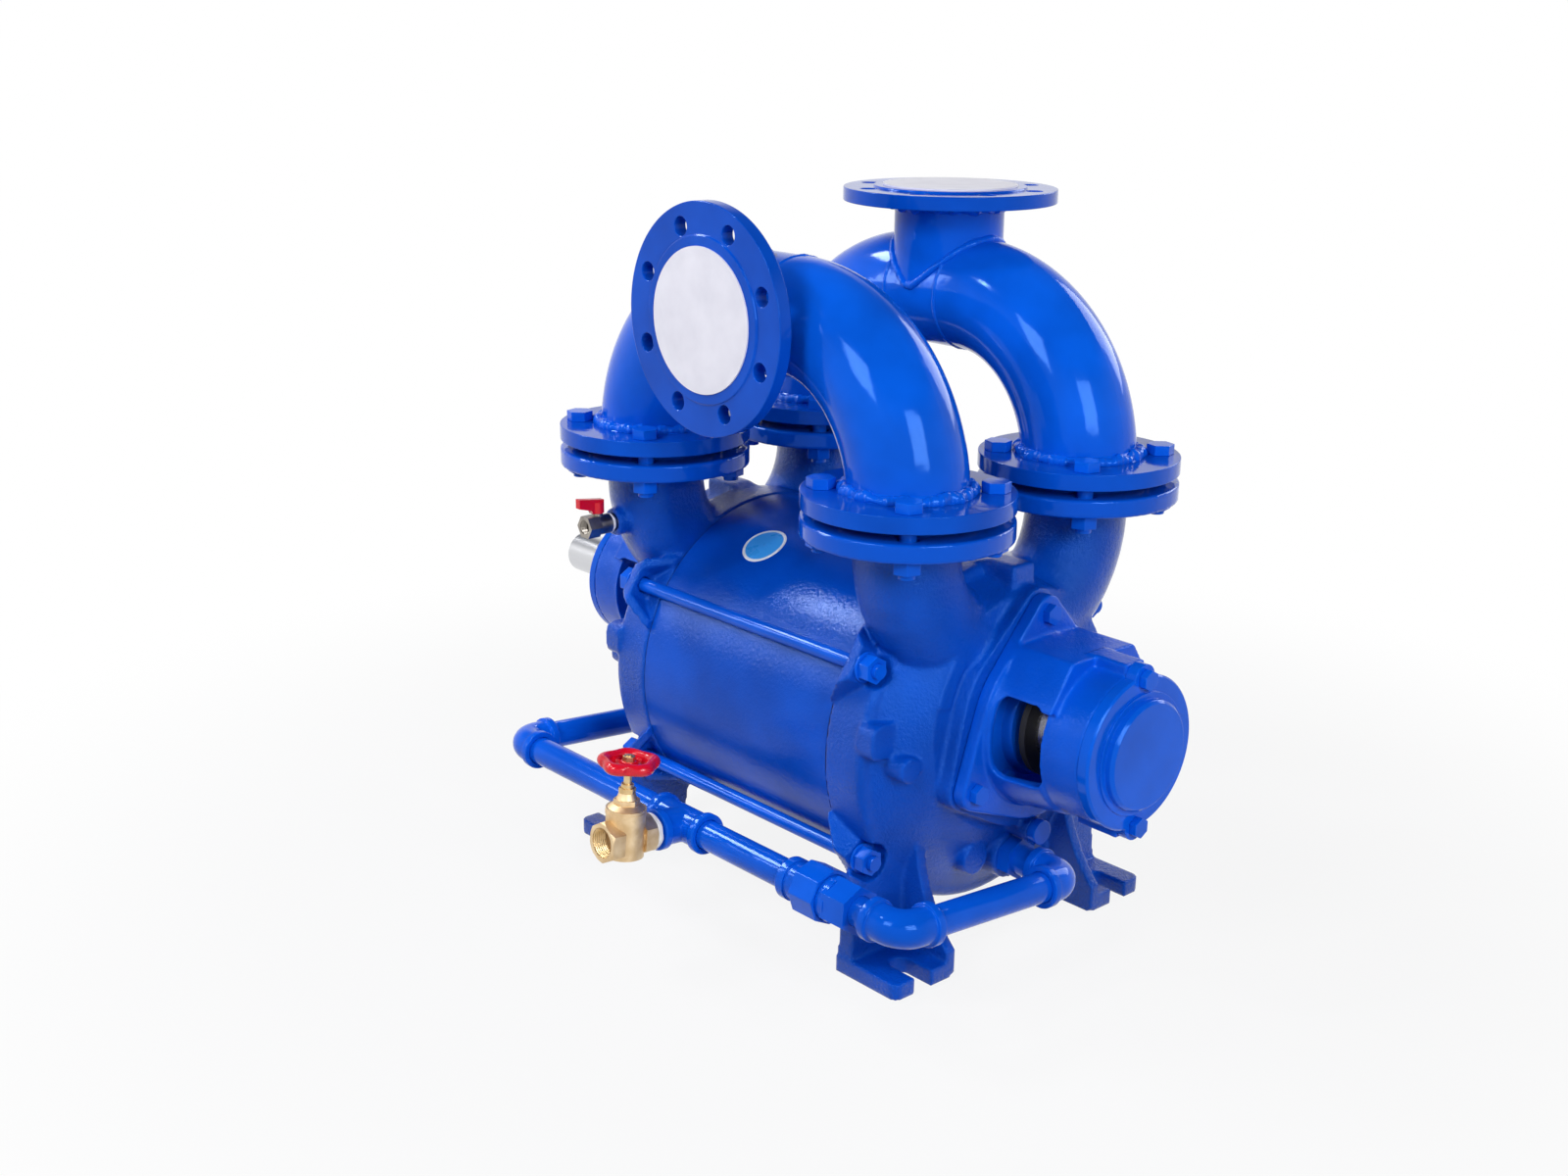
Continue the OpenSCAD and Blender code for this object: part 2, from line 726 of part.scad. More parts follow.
// Bracket at the free end: three-lobed flange, open windows on both sides, bearing housing
module bearing_bracket() {
    bell_r0 = bracket_waist_r - 2;
    bell_r1 = 78;
    lip_r = 46;
    window_low = -36;
    window_h = 80;
    lug_w = 26;
    difference() {
        on_shaft() {
            hull() bracket_discs(seat_x, bracket_x, bracket_waist_r, bracket_lobe_r);
            turned_x([[0, bracket_x - 1], [bell_r0, bracket_x - 1], [bell_r1, housing_x],
                [housing_r, housing_x + 4], [housing_r, plate_x0], [0, plate_x0]]);
            prism_x(bracket_x - 1, housing_x + 10) polygon([[-74, 40], [-44, 84], [44, 84], [74, 40]]);
            for (up = [0, 1]) rotate([180 * up, 0, 0]) translate([housing_x, -lug_w / 2, 40])
                cube([housing_l, lug_w, lug_bolt_r - 40 + lug_w / 2]);
        }
        on_shaft() {
            turned_x([[0, seat_x - eps], [seal_cover_r + 2, seat_x - eps],
                [seal_cover_r + 2, seat_x + seal_cover_t + 1],
                [seal_bolt_r + seal_bolt_d, seat_x + seal_cover_t + 9], [64, housing_x - 4],
                [lip_r, housing_x - 4], [lip_r, bearing_x0],
                [bearing_out_r + fit, bearing_x0], [bearing_out_r + fit, plate_x0 + eps],
                [0, plate_x0 + eps]]);
            translate([bracket_x + 6, 0, window_low]) prism_y(-150, 150)
                round_rect(window_l - 4, window_h, 12);
            round_x(bracket_bolt_angles, bracket_bolt_r)
                bar_x(seat_x - eps, bracket_x + eps, bracket_bolt_d / 2 + 0.5);
            round_x([90, 270], lug_bolt_r) bar_x(plate_x0 - 26, plate_x0 + eps, lug_bolt_d / 2 + fit);
        }
    }
}

module bearing_bracket_free() {
    color(PUMP_BLUE) bearing_bracket();
}

module bearing_bracket_drive() {
    color(PUMP_BLUE) mirror([1, 0, 0]) bearing_bracket();
}

module bracket_bolts() {
    color(PUMP_BLUE) both_ends() on_shaft() round_x(bracket_bolt_angles, bracket_bolt_r)
        bolt_x(bracket_x, bracket_bolt_d, 36);
}

// Round cover plate with two lugs, a spigot and a stepped boss of radius r up to x
module bearing_cover(boss_r, boss_x) {
    lug_r = 14;
    step_r = 59.5;
    step_h = 2.5;
    chamfer = 3;
    difference() {
        on_shaft() {
            turned_x([[0, bearing_x1 + 0.2], [bearing_out_r - 0.1, bearing_x1 + 0.2],
                [bearing_out_r - 0.1, plate_x0], [housing_r, plate_x0],
                [housing_r, plate_x1 - 2], [housing_r - 2, plate_x1], [step_r, plate_x1],
                [step_r, plate_x1 + step_h], [boss_r, plate_x1 + step_h], [boss_r, boss_x - chamfer],
                [boss_r - chamfer, boss_x], [0, boss_x]]);
            round_x([90, 270], lug_bolt_r) bar_x(plate_x0, plate_x1, lug_r);
        }
        on_shaft() {
            bar_x(bearing_x1 - eps, plate_x1 + 4, 46);
            round_x([90, 270], lug_bolt_r) bar_x(plate_x0 - eps, plate_x1 + eps, lug_bolt_d / 2 + 0.4);
        }
    }
}

module bearing_cover_free() {
    color(PUMP_BLUE) bearing_cover(cap_r, cap_x);
}

module bearing_cover_drive() {
    color(PUMP_BLUE) mirror([1, 0, 0]) difference() {
        bearing_cover(cap_r, cap_x);
        on_shaft() bar_x(plate_x1, cap_x + eps, drive_seal_r);
    }
}

module bearing_cover_bolts() {
    color(PUMP_BLUE) both_ends() on_shaft() round_x([90, 270], lug_bolt_r) bolt_x(plate_x1, lug_bolt_d, 34);
}

// Bearing ring between two radii with its ball groove
module bearing_ring(r_in, r_out) {
    on_shaft() rotate([0, 90, 0]) rotate_extrude() difference() {
        translate([r_in, bearing_x0]) square([r_out - r_in, bearing_w]);
        translate([pitch_r, bearing_mid_x]) circle(r = race_r);
    }
}

module bearing_outer_rings() {
    color(STEEL) both_ends() bearing_ring(pitch_r + ring_gap, bearing_out_r);
}

module bearing_inner_rings() {
    color(STEEL) both_ends() bearing_ring(bearing_bore_r + fit, pitch_r - ring_gap);
}

// Places of the balls of one bearing
module at_balls() {
    on_shaft() round_x([for (i = [0:ball_count - 1]) i * 360 / ball_count], pitch_r)
        translate([bearing_mid_x, 0, 0]) children();
}

module bearing_balls() {
    color(STEEL) both_ends() at_balls() sphere(r = ball_r);
}

module bearing_cages() {
    color(BRASS) both_ends() difference() {
        on_shaft() ring_x(bearing_mid_x - 12, bearing_mid_x + 12, pitch_r - 2, pitch_r + 2);
        for (i = [0:ball_count - 1]) on_shaft() rotate([i * 360 / ball_count, 0, 0])
            translate([bearing_mid_x, pitch_r - 5, 0]) bar_y(0, 10, ball_r + 0.2);
    }
}

module bearing_lip_seals() {
    color(BLACK) on_shaft() {
        both_ends() ring_x(housing_x - 2, bearing_x0 - 1, shaft_r + fit, 46 - fit);
        mirror([1, 0, 0]) ring_x(plate_x1 + 4.2, cap_x - 1, bearing_bore_r + fit, drive_seal_r - fit);
    }
}

module bearing_lock_nut() {
    nut_l = 11;
    slot = 6;
    color(STEEL) on_shaft() difference() {
        ring_x(bearing_x1, bearing_x1 + nut_l, bearing_bore_r + fit, 36);
        for (a = [0:90:270]) rotate([a, 0, 0]) translate([bearing_x1 - eps, -slot / 2, 32])
            cube([nut_l + 2 * eps, slot, 10]);
    }
}

// Seal cover seen through the bracket window
module seal_cover() {
    on_shaft() difference() {
        turned_x([[0, seat_x], [seal_cover_r, seat_x], [seal_cover_r, seat_x + seal_cover_t - 2],
            [seal_cover_r - 2, seat_x + seal_cover_t], [seal_cover_hub_r, seat_x + seal_cover_t],
            [seal_cover_hub_r - 4, seat_x + seal_cover_hub_l], [0, seat_x + seal_cover_hub_l]]);
        bar_x(seat_x - eps, seat_x + seal_cover_hub_l + eps, sleeve_r + 2);
        bar_x(seat_x - eps, seat_x + seal_seat_t - 2, seal_seat_r + fit);
        round_x(seal_bolt_angles, seal_bolt_r)
            bar_x(seat_x - eps, seat_x + seal_cover_t + eps, seal_bolt_d / 2 + 0.4);
    }
}

module seal_cover_free() {
    color(PUMP_BLUE) seal_cover();
}

module seal_cover_drive() {
    color(PUMP_BLUE) mirror([1, 0, 0]) seal_cover();
}

module seal_cover_bolts() {
    color(PUMP_BLUE) both_ends() on_shaft() round_x(seal_bolt_angles, seal_bolt_r)
        bolt_x(seat_x + seal_cover_t, seal_bolt_d, 30);
}

module seal_seats() {
    color(WHITE) both_ends() on_shaft()
        ring_x(seat_x - 2, seat_x + seal_seat_t - 2, sleeve_r + 1, seal_seat_r);
}

module seal_heads() {
    head_x1 = seat_x - 2.3;
    color(BLACK) both_ends() on_shaft() difference() {
        turned_x([[0, head_x1 - seal_head_l], [seal_head_r, head_x1 - seal_head_l],
            [seal_head_r, head_x1 - 8],
            [seal_head_r - 4, head_x1 - 6], [seal_head_r - 4, head_x1], [0, head_x1]]);
        bar_x(0, seat_x, sleeve_r + fit);
    }
}

module shaft() {
    drive_x = cap_x + 3 + drive_end_l;
    keyway_l = 76;
    keyway_x = drive_x - 6 - keyway_l;
    color(STEEL) difference() {
        on_shaft() turned_x([[0, -drive_x], [drive_end_r - 2, -drive_x], [drive_end_r, 2 - drive_x],
            [drive_end_r, drive_end_l - drive_x], [bearing_bore_r, drive_end_l - drive_x],
            [bearing_bore_r, -bearing_x0], [shaft_r, -bearing_x0],
            [shaft_r, bearing_x0], [bearing_bore_r, bearing_x0], [bearing_bore_r, bearing_x1 + 12],
            [bearing_bore_r - 2, bearing_x1 + 14], [0, bearing_x1 + 14]]);
        on_shaft() rotate([-90, 0, 0]) translate([-keyway_x - keyway_l, drive_end_r - 5.5, -key_w / 2])
            round_keyway(keyway_l);
        on_shaft() translate([-impeller_key_l / 2, -key_w / 2, shaft_r - key_depth])
            cube([impeller_key_l, key_w, key_depth + eps]);
    }
}

// Keyway with round ends, cut along X
module round_keyway(l) {
    rotate([-90, 0, 0]) translate([key_w / 2, -key_w / 2, 0]) {
        cylinder(h = 10, r = key_w / 2);
        translate([0, -key_w / 2, 0]) cube([l - key_w, key_w, 10]);
        translate([l - key_w, 0, 0]) cylinder(h = 10, r = key_w / 2);
    }
}

module impeller_key() {
    color(STEEL) on_shaft() translate([-impeller_key_l / 2 + fit, -key_w / 2 + fit, shaft_r - key_depth + fit])
        cube([impeller_key_l - 2 * fit, key_w - 2 * fit, 10]);
}

// Point of a blade's middle line at a share of its length, pushed sideways by half its thickness
function blade_point(share, side) =
    let (r = hub_r - 4 + share * (impeller_r - hub_r + 4), a = blade_sweep * pow(share, 1.6))
    [r * cos(a) - side * blade_t / 2 * sin(a), r * sin(a) + side * blade_t / 2 * cos(a)];

module impeller() {
    half = half_l - port_plate_t - side_gap;
    steps = 6;
    color(BRONZE) on_shaft() difference() {
        union() {
            bar_x(-half, half, hub_r);
            bar_x(-shroud_t / 2, shroud_t / 2, impeller_r - 16);
            for (i = [0:blade_count - 1]) rotate([i * 360 / blade_count, 0, 0]) prism_x(-half, half)
                polygon([for (s = [0:steps]) blade_point(s / steps, -1),
                    for (s = [steps:-1:0]) blade_point(s / steps, 1)]);
        }
        bar_x(-half - eps, half + eps, shaft_r + fit);
        translate([-half - eps, -key_w / 2, 0]) cube([2 * half + 2 * eps, key_w, shaft_r + 5]);
    }
}

module shaft_sleeves() {
    color(STEEL) both_ends() on_shaft()
        ring_x(half_l - port_plate_t - side_gap + 0.1, sleeve_x1, shaft_r + fit, sleeve_r);
}

module water_slingers() {
    color(BLACK) both_ends() on_shaft() ring_x(slinger_x, slinger_x + 7, sleeve_r + fit, 52);
}

// Elbow of a manifold from its port up to the middle run, with a short tail below
module manifold_elbow(r, tail) {
    translate([port_x - elbow_r, 0, elbow_z]) rotate([90, 0, 0])
        rotate_extrude(angle = 90) translate([elbow_r, 0]) circle(r = r);
    translate([port_x, 0, elbow_z - tail]) cylinder(h = tail, r = r);
}

// Two elbows and the short run between them
module manifold_run(r, tail) {
    both_ends() manifold_elbow(r, tail);
    translate([0, 0, run_z]) bar_x(elbow_r - port_x, port_x - elbow_r, r);
}

// Fillet weld round a pipe that stands on a flange
module pipe_weld() {
    rotate_extrude() polygon([[pipe_r - 2, 0], [pipe_r + weld_leg, 0], [pipe_r - 2, weld_leg + 2]]);
}

module suction_manifold() {
    back_y = suction_face_y + main_face_h + main_flange_t;
    color(PUMP_BLUE) difference() {
        union() {
            translate([0, -port_y, 0]) {
                manifold_run(pipe_r, 2);
                both_ends() translate([port_x, 0, port_top_z]) pipe_weld();
            }
            translate([0, 0, run_z]) bar_y(suction_face_y + 4, -port_y, branch_r);
            translate([0, back_y, run_z]) rotate([-90, 0, 0]) pipe_weld();
        }
        translate([0, -port_y, 0]) manifold_run(pipe_in_r, 3);
        translate([0, 0, run_z]) bar_y(suction_face_y, -port_y, branch_r - pipe_wall);
    }
}

module discharge_manifold() {
    back_z = discharge_face_z - main_face_h - main_flange_t;
    color(PUMP_BLUE) difference() {
        translate([0, port_y, 0]) {
            manifold_run(pipe_r, 2);
            both_ends() translate([port_x, 0, port_top_z]) pipe_weld();
            translate([0, 0, run_z]) cylinder(h = discharge_rise - 4, r = branch_r);
            translate([0, 0, back_z]) mirror([0, 0, 1]) pipe_weld();
        }
        translate([0, port_y, 0]) {
            manifold_run(pipe_in_r, 3);
            translate([0, 0, run_z]) cylinder(h = discharge_rise, r = branch_r - pipe_wall);
        }
    }
}

// Slip-on flange on a manifold's port end
module port_flange() {
    translate([0, 0, weld_flange_z]) difference() {
        union() {
            cylinder(h = weld_flange_t, r = port_flange_d / 2);
            translate([0, 0, -raised_face_h]) cylinder(h = raised_face_h + eps, r = raised_face_d / 2);
        }
        translate([0, 0, -2 * raised_face_h]) cylinder(h = 60, r = pipe_r + pipe_socket_gap);
        for (a = [45:90:315]) rotate(a) translate([port_bolt_circle / 2, 0, -eps])
            cylinder(h = 60, r = flange_hole_d / 2);
    }
}

module suction_port_flanges() {
    color(PUMP_BLUE) both_ends() translate([port_x, -port_y, 0]) port_flange();
}

module discharge_port_flanges() {
    color(PUMP_BLUE) both_ends() translate([port_x, port_y, 0]) port_flange();
}

// Connection flange with its raised face at Z = 0 and its back below
module main_flange() {
    difference() {
        union() {
            translate([0, 0, -main_face_h - main_flange_t]) cylinder(h = main_flange_t, r = main_flange_d / 2);
            translate([0, 0, -main_face_h - eps]) cylinder(h = main_face_h + eps, r = main_face_d / 2);
        }
        translate([0, 0, -60]) cylinder(h = 70, r = pipe_r + pipe_socket_gap);
        for (i = [0:main_bolt_count - 1]) rotate((i + 0.5) * 360 / main_bolt_count)
            translate([main_bolt_circle / 2, 0, -60]) cylinder(h = 70, r = flange_hole_d / 2);
    }
}

// Puts a shape on the suction face, with Z pointing out of the face
module on_suction_face() {
    translate([0, suction_face_y, run_z]) rotate([90, 0, 0]) rotate(suction_turn) children();
}

// Puts a shape on the discharge face, with Z pointing out of the face
module on_discharge_face() {
    translate([0, port_y, discharge_face_z]) children();
}

module suction_flange() {
    color(PUMP_BLUE) on_suction_face() main_flange();
}

module discharge_flange() {
    color(PUMP_BLUE) on_discharge_face() main_flange();
}

module suction_transit_cover() {
    color(WHITE) on_suction_face() cylinder(h = transit_t, r = transit_d / 2);
}

module discharge_transit_cover() {
    color(WHITE) on_discharge_face() cylinder(h = transit_t, r = transit_d / 2);
}

// Places of the four ports
module at_ports() {
    for (x = [-port_x, port_x]) for (y = [-port_y, port_y]) translate([x, y, 0]) children();
}

module port_gaskets() {
    color(BLACK) at_ports() translate([0, 0, port_gasket_z]) difference() {
        cylinder(h = port_gasket_t, r = raised_face_d / 2);
        translate([0, 0, -eps]) cylinder(h = port_gasket_t + 2 * eps, r = port_bore / 2);
    }
}

// Places of the bolts of every port
module at_port_bolts() {
    at_ports() for (a = [45:90:315]) rotate(a) translate([port_bolt_circle / 2, 0, 0]) children();
}

module port_bolts() {
    shank_z = cast_flange_z - port_nut_h - 5;
    color(PUMP_BLUE) at_port_bolts() {
        translate([0, 0, port_top_z]) flats(1.5 * port_bolt_d, 10);
        translate([0, 0, shank_z]) cylinder(h = port_top_z - shank_z + eps, r = port_bolt_d / 2);
    }
}

module port_nuts() {
    color(PUMP_BLUE) at_port_bolts() translate([0, 0, cast_flange_z - port_nut_h]) difference() {
        flats(1.5 * port_bolt_d, port_nut_h);
        translate([0, 0, -eps]) cylinder(h = port_nut_h + 2 * eps, r = port_bolt_d / 2 + fit);
    }
}

// Frame of the water line: its origin lies on the axis of the water ports
module in_water_line() {
    translate([0, 0, water_z]) rotate([-water_tilt, 0, 0]) children();
}

// Piece of water pipe along X
module pipe_x(x0, x1) {
    ring_x(x0, x1, water_bore_r, water_r);
}

module water_pipes() {
    grip = socket_l - 1;
    elbow_end = cross_x - fitting_l;
    bush_l = 14;
    color(PUMP_BLUE) in_water_line() {
        both_ends() {
            difference() {
                union() {
                    bar_x(water_boss_x - grip, elbow_end + grip, water_r);
                    translate([water_boss_x, 0, 0]) rotate([0, 90, 0]) flats(water_pipe_d + 7, bush_l);
                }
                bar_x(water_boss_x - socket_l, elbow_end + socket_l, water_bore_r);
            }
            translate([cross_x, fitting_l - water_reach - grip, 0]) difference() {
                cross_l = water_reach - 2 * fitting_l + 2 * grip;
                bar_y(0, cross_l, water_r);
                bar_y(-eps, cross_l + eps, water_bore_r);
            }
        }
        translate([0, -water_reach, 0]) {
            pipe_x(-elbow_end - grip, tee_x - fitting_l + grip);
            pipe_x(tee_x + fitting_l - grip, union_x - union_half + grip);
            pipe_x(union_x + union_half - grip, elbow_end + grip);
        }
    }
}

// Quarter bend of an elbow, from -X round to +Y
module elbow_bend(bend, r) {
    translate([-bend, bend, 0]) rotate(-90) rotate_extrude(angle = 90) translate([bend, 0]) circle(r = r);
}

// Malleable elbow with its corner at the origin and legs towards -X and +Y
module pipe_elbow() {
    bend = 20;
    difference() {
        union() {
            elbow_bend(bend, fitting_r);
            bar_x(-fitting_l, -bend, fitting_r);
            bar_y(bend, fitting_l, fitting_r);
            bar_x(-fitting_l, bead_l - fitting_l, bead_r);
            bar_y(fitting_l - bead_l, fitting_l, bead_r);
        }
        elbow_bend(bend, water_bore_r);
        bar_x(-fitting_l - eps, -bend, water_bore_r);
        bar_y(bend, fitting_l + eps, water_bore_r);
        bar_x(-fitting_l - eps, socket_l - fitting_l, water_r + fit);
        bar_y(fitting_l - socket_l, fitting_l + eps, water_r + fit);
    }
}

module water_elbows() {
    color(PUMP_BLUE) in_water_line() both_ends() {
        translate([cross_x, -water_reach, 0]) pipe_elbow();
        translate([cross_x, 0, 0]) mirror([0, 1, 0]) pipe_elbow();
    }
}

module water_tee() {
    color(PUMP_BLUE) in_water_line() translate([tee_x, -water_reach, 0]) difference() {
        union() {
            bar_x(-fitting_l, fitting_l, fitting_r);
            bar_y(-fitting_l, 0, fitting_r);
            bar_x(-fitting_l, bead_l - fitting_l, bead_r);
            bar_x(fitting_l - bead_l, fitting_l, bead_r);
            bar_y(-fitting_l, bead_l - fitting_l, bead_r);
        }
        bar_x(-fitting_l, fitting_l, water_bore_r);
        bar_y(-fitting_l, 0, water_bore_r);
        for (s = [-1, 1]) translate([s * (fitting_l - socket_l / 2 + eps / 2), 0, 0])
            bar_x(-(socket_l + eps) / 2, (socket_l + eps) / 2, water_r + fit);
        bar_y(-fitting_l - eps, socket_l - fitting_l, water_r + fit);
    }
}

// Frame of the union on the long pipe
module at_union() {
    in_water_line() translate([union_x, -water_reach, 0]) children();
}

module union_tail() {
    color(PUMP_BLUE) at_union() difference() {
        union() {
            bar_x(-union_half, -1, fitting_r + 1);
            bar_x(-union_half, 10 - union_half, bead_r);
            bar_x(-5, -1, union_collar_r);
        }
        bar_x(-union_half - eps, 0, water_bore_r);
        bar_x(-union_half - eps, socket_l - union_half, water_r + fit);
    }
}

module union_nut() {
    color(PUMP_BLUE) at_union() difference() {
        translate([-22, 0, 0]) rotate([0, 90, 0]) flats(50, 32, 8);
        bar_x(-23, -5, fitting_r + 1 + fit);
        bar_x(-5, 11, union_collar_r + 2 * fit);
    }
}

module union_body() {
    color(PUMP_BLUE) at_union() difference() {
        union() {
            bar_x(-0.9, 20, union_collar_r);
            translate([16, 0, 0]) rotate([0, 90, 0]) flats(42, union_half - 16);
        }
        bar_x(-2, union_half + eps, water_bore_r);
        bar_x(union_half - socket_l, union_half + eps, water_r + fit);
    }
}

module valve_nipple() {
    y0 = -water_reach - fitting_l + socket_l - 1;
    y1 = valve_y + valve_l / 2 - socket_l + 1;
    color(WHITE) in_water_line() translate([tee_x, 0, 0]) difference() {
        bar_y(y1, y0, water_r);
        bar_y(y1 - eps, y0 + eps, water_bore_r);
    }
}

// Frame of the gate valve: flow along Y, stem along Z
module at_valve() {
    in_water_line() translate([tee_x, valve_y, 0]) children();
}

// Space for the wedge, up to a height
module wedge_space(top) {
    half_t = wedge_t / 2 + slot_gap;
    r = wedge_r + slot_gap;
    bar_y(-half_t, half_t, r);
    translate([-r, -half_t, 0]) cube([2 * r, 2 * half_t, top]);
}

module gate_valve_body() {
    half = valve_l / 2;
    color(BRASS) at_valve() difference() {
        union() {
            translate([0, -half, 0]) rotate([-90, 0, 0]) rotate(30) flats(valve_af, valve_end_l);
            translate([0, half, 0]) rotate([90, 0, 0]) rotate(30) flats(valve_af, valve_end_l);
            bar_y(1 - half, half - 1, valve_af / 2 - 2.5);
            translate([0, 0, -18]) cylinder(h = bonnet_z + 15.5, r = barrel_r);
            translate([0, 0, bonnet_z - 3]) cylinder(h = 3, r = barrel_r + 0.8);
        }
        bar_y(-half, half, valve_bore_r);
        bar_y(-half - eps, 16 - half, valve_thread_r);
        bar_y(half - socket_l, half + eps, water_r + fit);
        wedge_space(bonnet_z + eps);
    }
}

module gate_valve_bonnet() {
    color(BRASS) at_valve() difference() {
        union() {
            translate([0, 0, bonnet_z]) cylinder(h = 3, r = barrel_r + 0.4);
            translate([0, 0, bonnet_z + 2.5]) cylinder(h = 4.5, r1 = barrel_r - 0.6, r2 = 13);
            translate([0, 0, bonnet_z + 5]) flats(23, 7);
            translate([0, 0, bonnet_z + 11.5]) cylinder(h = 7, r1 = 10.5, r2 = 8);
        }
        wedge_space(bonnet_z + 2);
        translate([0, 0, bonnet_z]) cylinder(h = collar_z + collar_h - bonnet_z + 0.3, r = 6.8);
        cylinder(h = 90, r = stem_r + fit);
    }
}

module gate_valve_gland_nut() {
    color(BRASS) at_valve() translate([0, 0, bonnet_z + 18.5]) difference() {
        union() {
            flats(15, 5);
            cylinder(h = 9, r = 6.2);
        }
        translate([0, 0, -eps]) cylinder(h = 20, r = stem_r + fit);
    }
}

module gate_valve_stem() {
    color(BRASS) at_valve() {
        translate([0, 0, 7.5]) cylinder(h = collar_z - 7, r = stem_thread_r);
        translate([0, 0, collar_z]) cylinder(h = collar_h, r = 6.5);
        translate([0, 0, collar_z + collar_h - eps])
            cylinder(h = wheel_z - 10 - collar_z - collar_h + eps, r = stem_r);
        translate([0, 0, wheel_z - 10 - eps]) cylinder(h = 18 + eps, r = stem_r - 0.8);
    }
}

module gate_valve_wedge() {
    color(BRASS) at_valve() difference() {
        union() {
            bar_y(-wedge_t / 2, wedge_t / 2, wedge_r);
            translate([-wedge_r, -wedge_t / 2, 0]) cube([2 * wedge_r, wedge_t, wedge_r]);
        }
        translate([0, 0, -2 * wedge_r]) cylinder(h = 4 * wedge_r, r = stem_thread_r + fit);
    }
}

module handwheel() {
    rim_t = 6;
    rim_mid_r = wheel_d / 2 - rim_t;
    window_r = 4.6;
    lobe_gap_r = 16;
    color(RED) at_valve() translate([0, 0, wheel_z]) difference() {
        union() {
            rotate_extrude() translate([rim_mid_r, 0]) circle(r = rim_t);
            translate([0, 0, -6]) cylinder(h = 5, r = rim_mid_r);
            translate([0, 0, -10]) cylinder(h = 12, r = 8);
        }
        for (a = [0:72:288]) rotate(a) {
            for (side = [-14, 14]) rotate(side) translate([rim_mid_r * 0.58, 0, -20])
                cylinder(h = 40, r = window_r);
            rotate(36) translate([wheel_d / 2 + lobe_gap_r - 1.8, 0, -20]) cylinder(h = 40, r = lobe_gap_r);
        }
        translate([0, 0, -20]) cylinder(h = 40, r = stem_r - 0.8 + fit);
    }
}

module handwheel_nut() {
    color(BRASS) at_valve() translate([0, 0, wheel_z + 2]) difference() {
        flats(11, 5);
        translate([0, 0, -eps]) cylinder(h = 10, r = stem_r - 0.8 + fit);
    }
}

// Frame of the ball valve: flow along Y, stem along Z
module at_vent() {
    translate([-port_x, vent_y, shaft_z + vent_rise]) children();
}

module ball_valve_body() {
    color(NICKEL) at_vent() difference() {
        union() {
            translate([0, vent_end_y, 0]) rotate([-90, 0, 0]) flats(22, 15);
            bar_y(vent_end_y + 14, 13, 10.5);
            bar_y(12, 31, vent_thread_r);
            cylinder(h = lever_z - 0.5, r = 5.5);
        }
        bar_y(vent_end_y, 32, vent_flow_r);
        bar_y(vent_end_y - eps, vent_end_y + vent_inlet_l, vent_inlet_r);
        sphere(r = vent_ball_r + 0.3);
        cylinder(h = 30, r = vent_stem_r + fit);
    }
}

module ball_valve_ball() {
    color(NICKEL) at_vent() difference() {
        union() {
            sphere(r = vent_ball_r);
            cylinder(h = lever_z + 12, r = vent_stem_r);
        }
        bar_y(-20, 20, vent_flow_r);
    }
}

module ball_valve_lever() {
    color(RED) at_vent() translate([0, 0, lever_z]) difference() {
        union() {
            cylinder(h = 12, r = 6.5);
            prism_x(-3.5, 3.5) polygon([[6, 0], [-8, 0], [-10, 4], [-lever_l, 8],
                [-lever_l, 18], [-2, 15], [6, 14]]);
        }
        translate([0, 0, -eps]) cylinder(h = 12 + eps, r = vent_stem_r + fit);
    }
}

casing();
casing_gaskets();
end_cover_drive();
end_cover_free();
port_plate_drive();
port_plate_free();
tie_rods();
tie_rod_washers();
tie_rod_nuts();
bearing_bracket_drive();
bearing_bracket_free();
bracket_bolts();
bearing_cover_drive();
bearing_cover_free();
bearing_cover_bolts();
bearing_outer_rings();
bearing_inner_rings();
bearing_balls();
bearing_cages();
bearing_lip_seals();
bearing_lock_nut();
seal_cover_drive();
seal_cover_free();
seal_cover_bolts();
seal_seats();
seal_heads();
shaft();
impeller();
impeller_key();
shaft_sleeves();
water_slingers();
cover_plugs();
suction_manifold();
suction_port_flanges();
suction_flange();
suction_transit_cover();
discharge_manifold();
discharge_port_flanges();
discharge_flange();
discharge_transit_cover();
port_gaskets();
port_bolts();
port_nuts();
water_pipes();
water_elbows();
water_tee();
union_tail();
union_nut();
union_body();
valve_nipple();
gate_valve_body();
gate_valve_bonnet();
gate_valve_gland_nut();
gate_valve_stem();
gate_valve_wedge();
handwheel();
handwheel_nut();
ball_valve_body();
ball_valve_ball();
ball_valve_lever();
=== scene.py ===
# %% [markdown]
# # A liquid ring vacuum pump
# The pump's solids come from its CAD model, already at their real size and place in metres.
# This lesson gives them the skin of the real machine: blue enamel over rough castings, lumpy weld
# beads, brass and nickel valves, white thread tape and a bright machined shaft end.
# X runs along the shaft, Y towards the discharge side and Z up from the floor.

import json
import math

